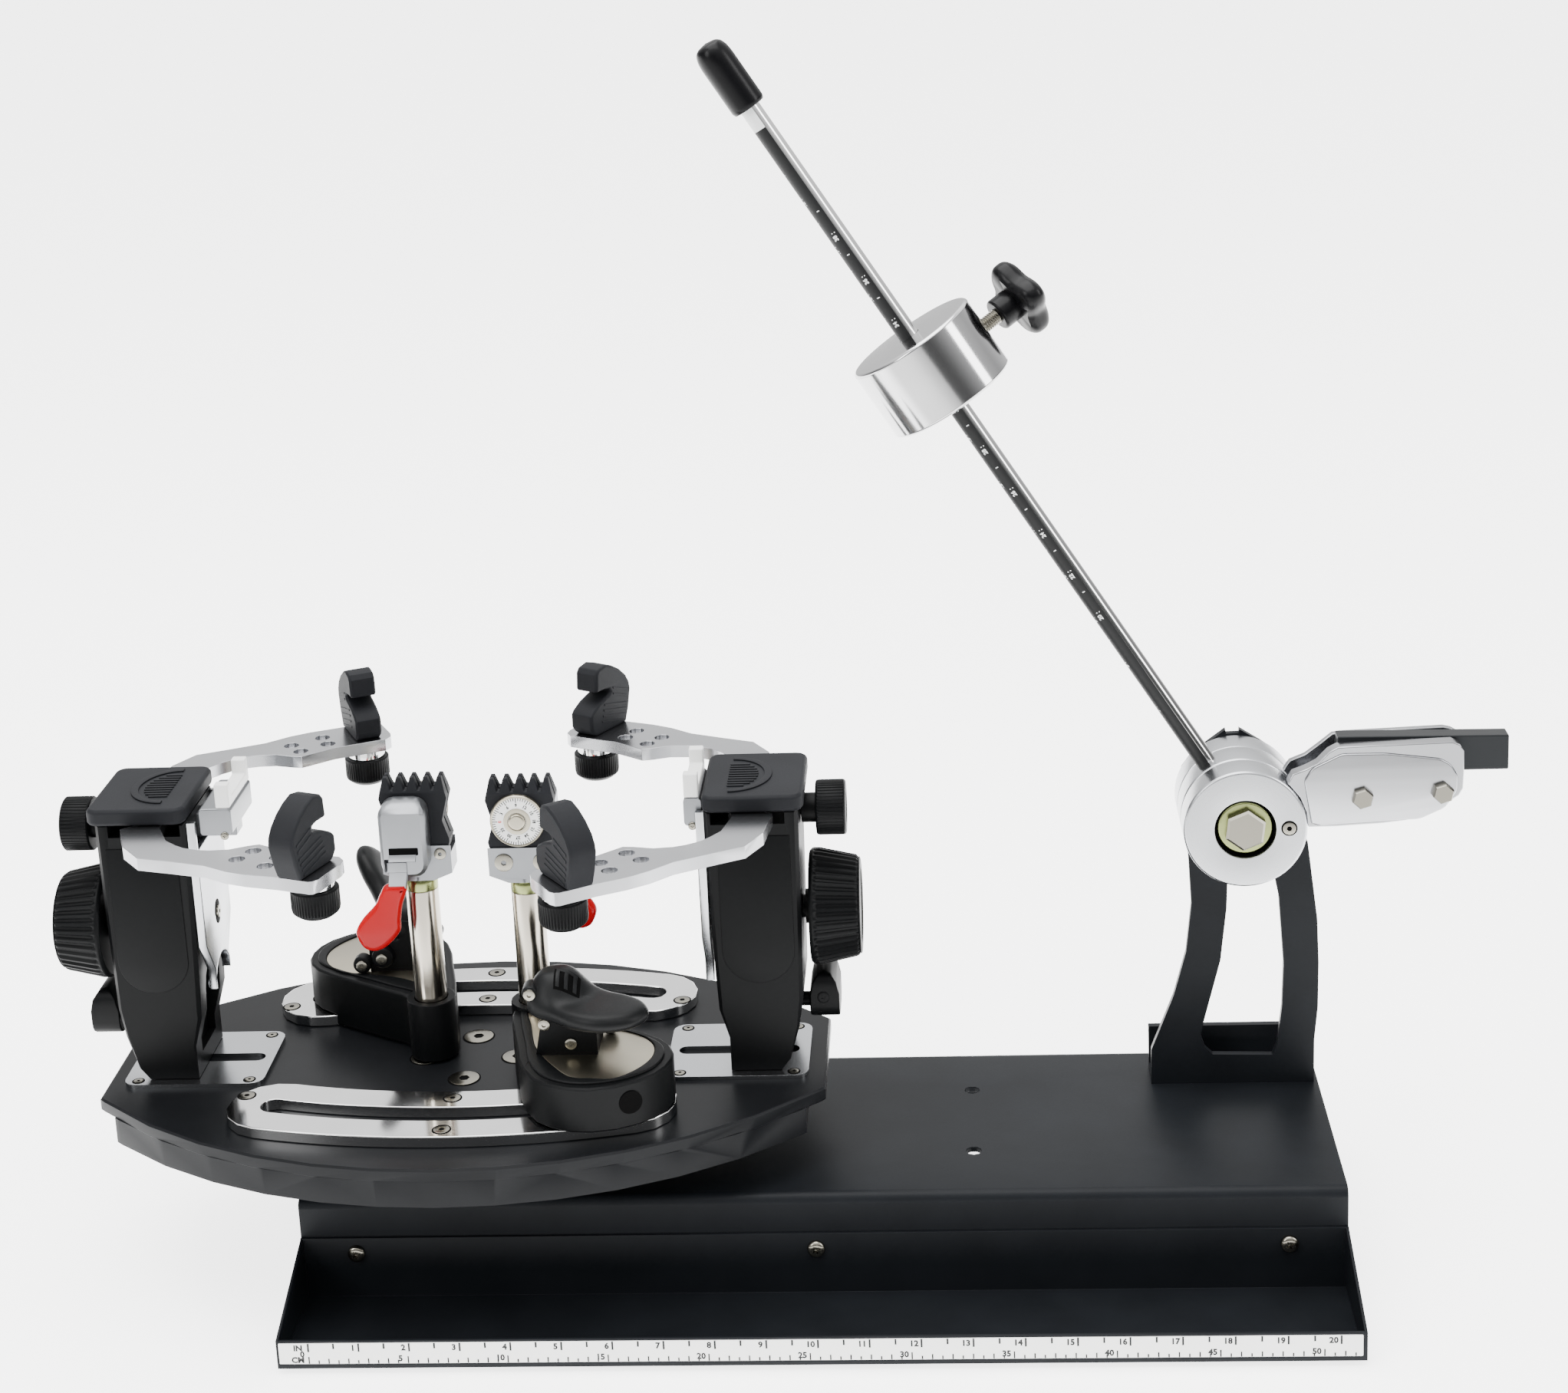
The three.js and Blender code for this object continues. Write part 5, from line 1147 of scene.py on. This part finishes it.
class STRINGING_OT_tension(Dress):
    """Finishes the drum, rod, weight, star knob and gripper"""
    bl_idname = "stringing.tension"
    bl_label = "Tension head"

    def execute(self, context):
        self.drum()
        self.rod(context.scene.stringing_rod)
        self.weight()
        return {"FINISHED"}

    def drum(self):
        """Discs, pivot bolt and gripper"""
        lathe("drum_disc_front", [(8.4, 9), (15.6, 9), (15.6, 0), (30.4, 0), (31.4, 1.0), (31.4, 17.2),
                                  (30.6, 18.1), (8.4, 18.1), (8.4, 9)], [0, 0, .4, .5, .5, .5, .5, 0, 0], 144,
              DRUM, Y, "turned", "gripper", "drum_front")
        lathe("drum_discs_rear", [(8.4, 18.7), (30.6, 18.7), (31.4, 19.5), (31.4, 36.2), (30.4, 36.8),
                                  (30.4, 37.2), (31.4, 37.8), (31.4, 54.5), (30.4, 55.5), (8.4, 55.5), (8.4, 18.7)],
              [0, .4, .4, .3, 0, 0, .3, .5, .5, 0, 0], 144, DRUM, Y, "turned", "rod", "drum_rear")
        grub = DRUM + (22.1, 0, 0.3)
        welded("drum_screw", placed(socket_screw(3.4, 0.5, 2.4, 1.2), grub, -Y, 0.2), "zinc", "gripper")
        # A near-black disc under the grub screw: painted shade of its seat
        welded("drum_screw_seat_shade", placed(disc(4.1, 0, 0.15), grub, -Y), "painted_shade", "gripper", ())
        lathe("pivot_washer", [(0, 2.4), (13.4, 2.4), (14.6, 3.6), (14.6, 8.4), (8, 8.4), (8, 63.4), (0, 63.4)],
              [0, .5, .5, 0, 0, .5, 0], 72, DRUM, Y, "passivated", "base", "pivot_bolt")
        # A near-black ring inside the drum's bore: painted shade
        lathe("bore_shade_ring", [(14.0, 8.6), (15.5, 8.6), (15.5, 2.6), (14.9, 2.0), (14.7, 3.5), (14.0, 8.6)], 0, 72,
              DRUM, Y, "painted_shade", "gripper", ())
        welded("pivot_head", placed(hex_bolt(19, 5), DRUM + Y * 2.6, -Y, 0.4), "zinc", "base")
        dressed("gripper", "cast", "gripper", 1.5, segments=3, angle=50)
        panel = np.array([(33.2, 2.5), (29.5, 25.5), (33.5, 32), (48.5, 39.5), (70.4, 39.3), (97.6, 35.8),
                          (103, 32.5), (106.5, 26.2), (106.2, 18), (100, 9.3), (87.7, 3.6), (37, 1)])
        panel = rounded(np.concatenate([panel, panel[:1]]), 2.2)[:-1] + DRUM[[0, 2]]
        piece("gripper_panel", upright(slab(panel, 0, 1.3, 0.8), DRUM[1] + 0.6), "cast", "gripper", ())
        dressed("gripper_jaw", "anodised", "gripper_jaw", 0.7)
        bolts = [placed(hex_bolt(9.6, 4.6), DRUM + (x, 1.6, z), -Y, 0.3) for x, z in ((58.7, 16.0), (98.9, 17.9))]
        welded("gripper_bolts", several(bolts), "zinc", "gripper")

    def rod(self, sizes):
        """Shaft, scale and end cap"""
        lathe("rod_shaft", [(0, 17.4), (5.2, 17.4), (5.2, 470), (0, 470)], [0, 0, .6, 0], 48, ROD_FOOT, ROD_WAY,
              "chrome", "rod", "tension_rod")
        lathe("rod_end", [(5.3, 442.7), (8.2, 442.7), (9.0, 444.5), (9.0, 471), (8.4, 476), (6.2, 479.6),
                          (0, 480.6)], [0, .6, .8, 2.5, 2.5, 2.5, 0], 56, ROD_FOOT, ROD_WAY, "rubber", "rod",
              "rod_cap", steps=8)
        piece("rod_scale", rod_wrap(31.0, 431), "ink", "rod", ())
        piece("rod_patch", rod_wrap(431, 442.6), "white_ink", "rod")
        marks, figures = [], []
        # Two scales: figures, pitches to each, their shift, long and short marks, and turns of marks and figures
        for chosen, share, inset, long, short, step, turns in (
                (range(7, 19), 1, None, (-1.0, 1.0), (-0.5, 0.9), 14.45, (66, 62)),
                (range(20, 40, 2), 0.4536, 3.0, (-1.2, 0.8), (-0.9, 0.5), 13.15, (14, 16))):
            for n in chosen:
                along = sizes.first + (n * share - 7) * sizes.pitch
                for x, (y0, y1) in ((along, long), (along + step, short)):
                    marks.append((*bar(x, 0.25, y0, y1, 0.02, PRINT), turns[0]))
                back = inset or 2.2 + 0.8 * (n > 9)
                figures.append((*lettering([(str(n), 3.0, along - back, 0, 0)]), turns[1]))
        wrapped = [(on_rod(points, degrees), faces) for points, faces, degrees in marks + figures]
        piece("rod_figures", several(wrapped), "white_ink", "rod", angle=30)

    def weight(self):
        """Sliding weight with the flat where its star knob sits"""
        heart = ROD_FOOT + ROD_WAY * WEIGHT_ALONG
        low, high = WEIGHT_ALONG - WEIGHT_HALF, WEIGHT_ALONG + WEIGHT_HALF
        side = [(WEIGHT_RADIUS, h) for h in np.linspace(low + 1.6, high - 1.6, 61)]
        profile = rounded([(5.6, low), (WEIGHT_RADIUS - 1.2, low), (WEIGHT_RADIUS, low + 1.2), *side,
                           (WEIGHT_RADIUS, high - 1.2), (WEIGHT_RADIUS - 1.2, high), (5.6, high), (5.6, low)],
                          [0, .8, .6] + [0] * len(side) + [.6, .8, 0, 0])
        points, faces = placed(revolved(profile, 320), ROD_FOOT, ROD_WAY)
        out = (points - heart) @ STAR_WAY
        off = np.linalg.norm(points - heart - out[:, None] * STAR_WAY, axis=1)
        deep = np.where((out > 31) & (off < 12.5), out - 31, 0)
        welded("sliding_weight", (points - deep[:, None] * STAR_WAY, faces), "weight", "weight", "weight")
        h = np.linspace(24.5, 45, 165)
        thread = np.stack([3.7 + 0.3 * np.cos(FULL * h / THREAD_PITCH), h], -1)
        stud = revolved(np.concatenate([[(0, 24.5)], thread, [(0, 45)]]), 24)
        welded("star_stud", placed(stud, heart, STAR_WAY), "zinc", "star_knob")
        hub = revolved(rounded([(0, 44), (7.6, 44), (8.5, 45), (8.5, 55), (0, 55)], [0, .5, .5, .5, 0]), 48)
        h = np.linspace(-1, 1, 15)
        crown = np.stack([20.5 * (1 - 0.18 * np.abs(h) ** 3), 60 + 6 * h], -1)
        profile = np.concatenate([[(0, 54)], crown, [(8.6, 66), (8.4, 65.4), (0, 65.4)]])

        def lobes(a, r, _):
            return np.where(r > 10, r * (0.87 + 0.13 * np.cos(4 * a)), r)
        parts = several([hub, revolved(profile, 144, lobes)])
        welded("star_grip", placed(parts, heart, STAR_WAY), "rubber", "star_knob", "star_knob")


class STRINGING_PT_panel(bpy.types.Panel):
    """Buttons for each step and fields for its sizes"""
    bl_label = "Stringing machine"
    bl_idname = "STRINGING_PT_panel"
    bl_space_type = "VIEW_3D"
    bl_region_type = "UI"
    bl_category = "Stringing"

    def draw(self, context):
        for operator in OPERATORS:
            self.layout.operator(operator.bl_idname)
        for name in GROUPS:
            group = getattr(context.scene, name)
            for key in group.__annotations__:
                self.layout.prop(group, key)


GROUPS = {"stringing_view": ViewSizes, "stringing_studio": StudioSizes, "stringing_base": BaseSizes,
          "stringing_knobs": KnobSizes, "stringing_rod": RodSizes}
OPERATORS = (STRINGING_OT_camera, STRINGING_OT_studio, STRINGING_OT_base, STRINGING_OT_turntable,
             STRINGING_OT_towers, STRINGING_OT_arms, STRINGING_OT_clamps, STRINGING_OT_tension)
FINISH = {}


def register():
    for group in GROUPS.values():
        bpy.utils.register_class(group)
    for operator in OPERATORS:
        bpy.utils.register_class(operator)
    bpy.utils.register_class(STRINGING_PT_panel)
    for name, group in GROUPS.items():
        setattr(bpy.types.Scene, name, PointerProperty(type=group))


def unregister():
    for name in GROUPS:
        delattr(bpy.types.Scene, name)
    for made in (STRINGING_PT_panel, *OPERATORS[::-1], *GROUPS.values()):
        bpy.utils.unregister_class(made)


def main():
    register()
    FINISH.update(make_finishes())
    for operator in OPERATORS:
        family, name = operator.bl_idname.split(".")
        getattr(getattr(bpy.ops, family), name)()


if __name__ == "__main__":
    main()
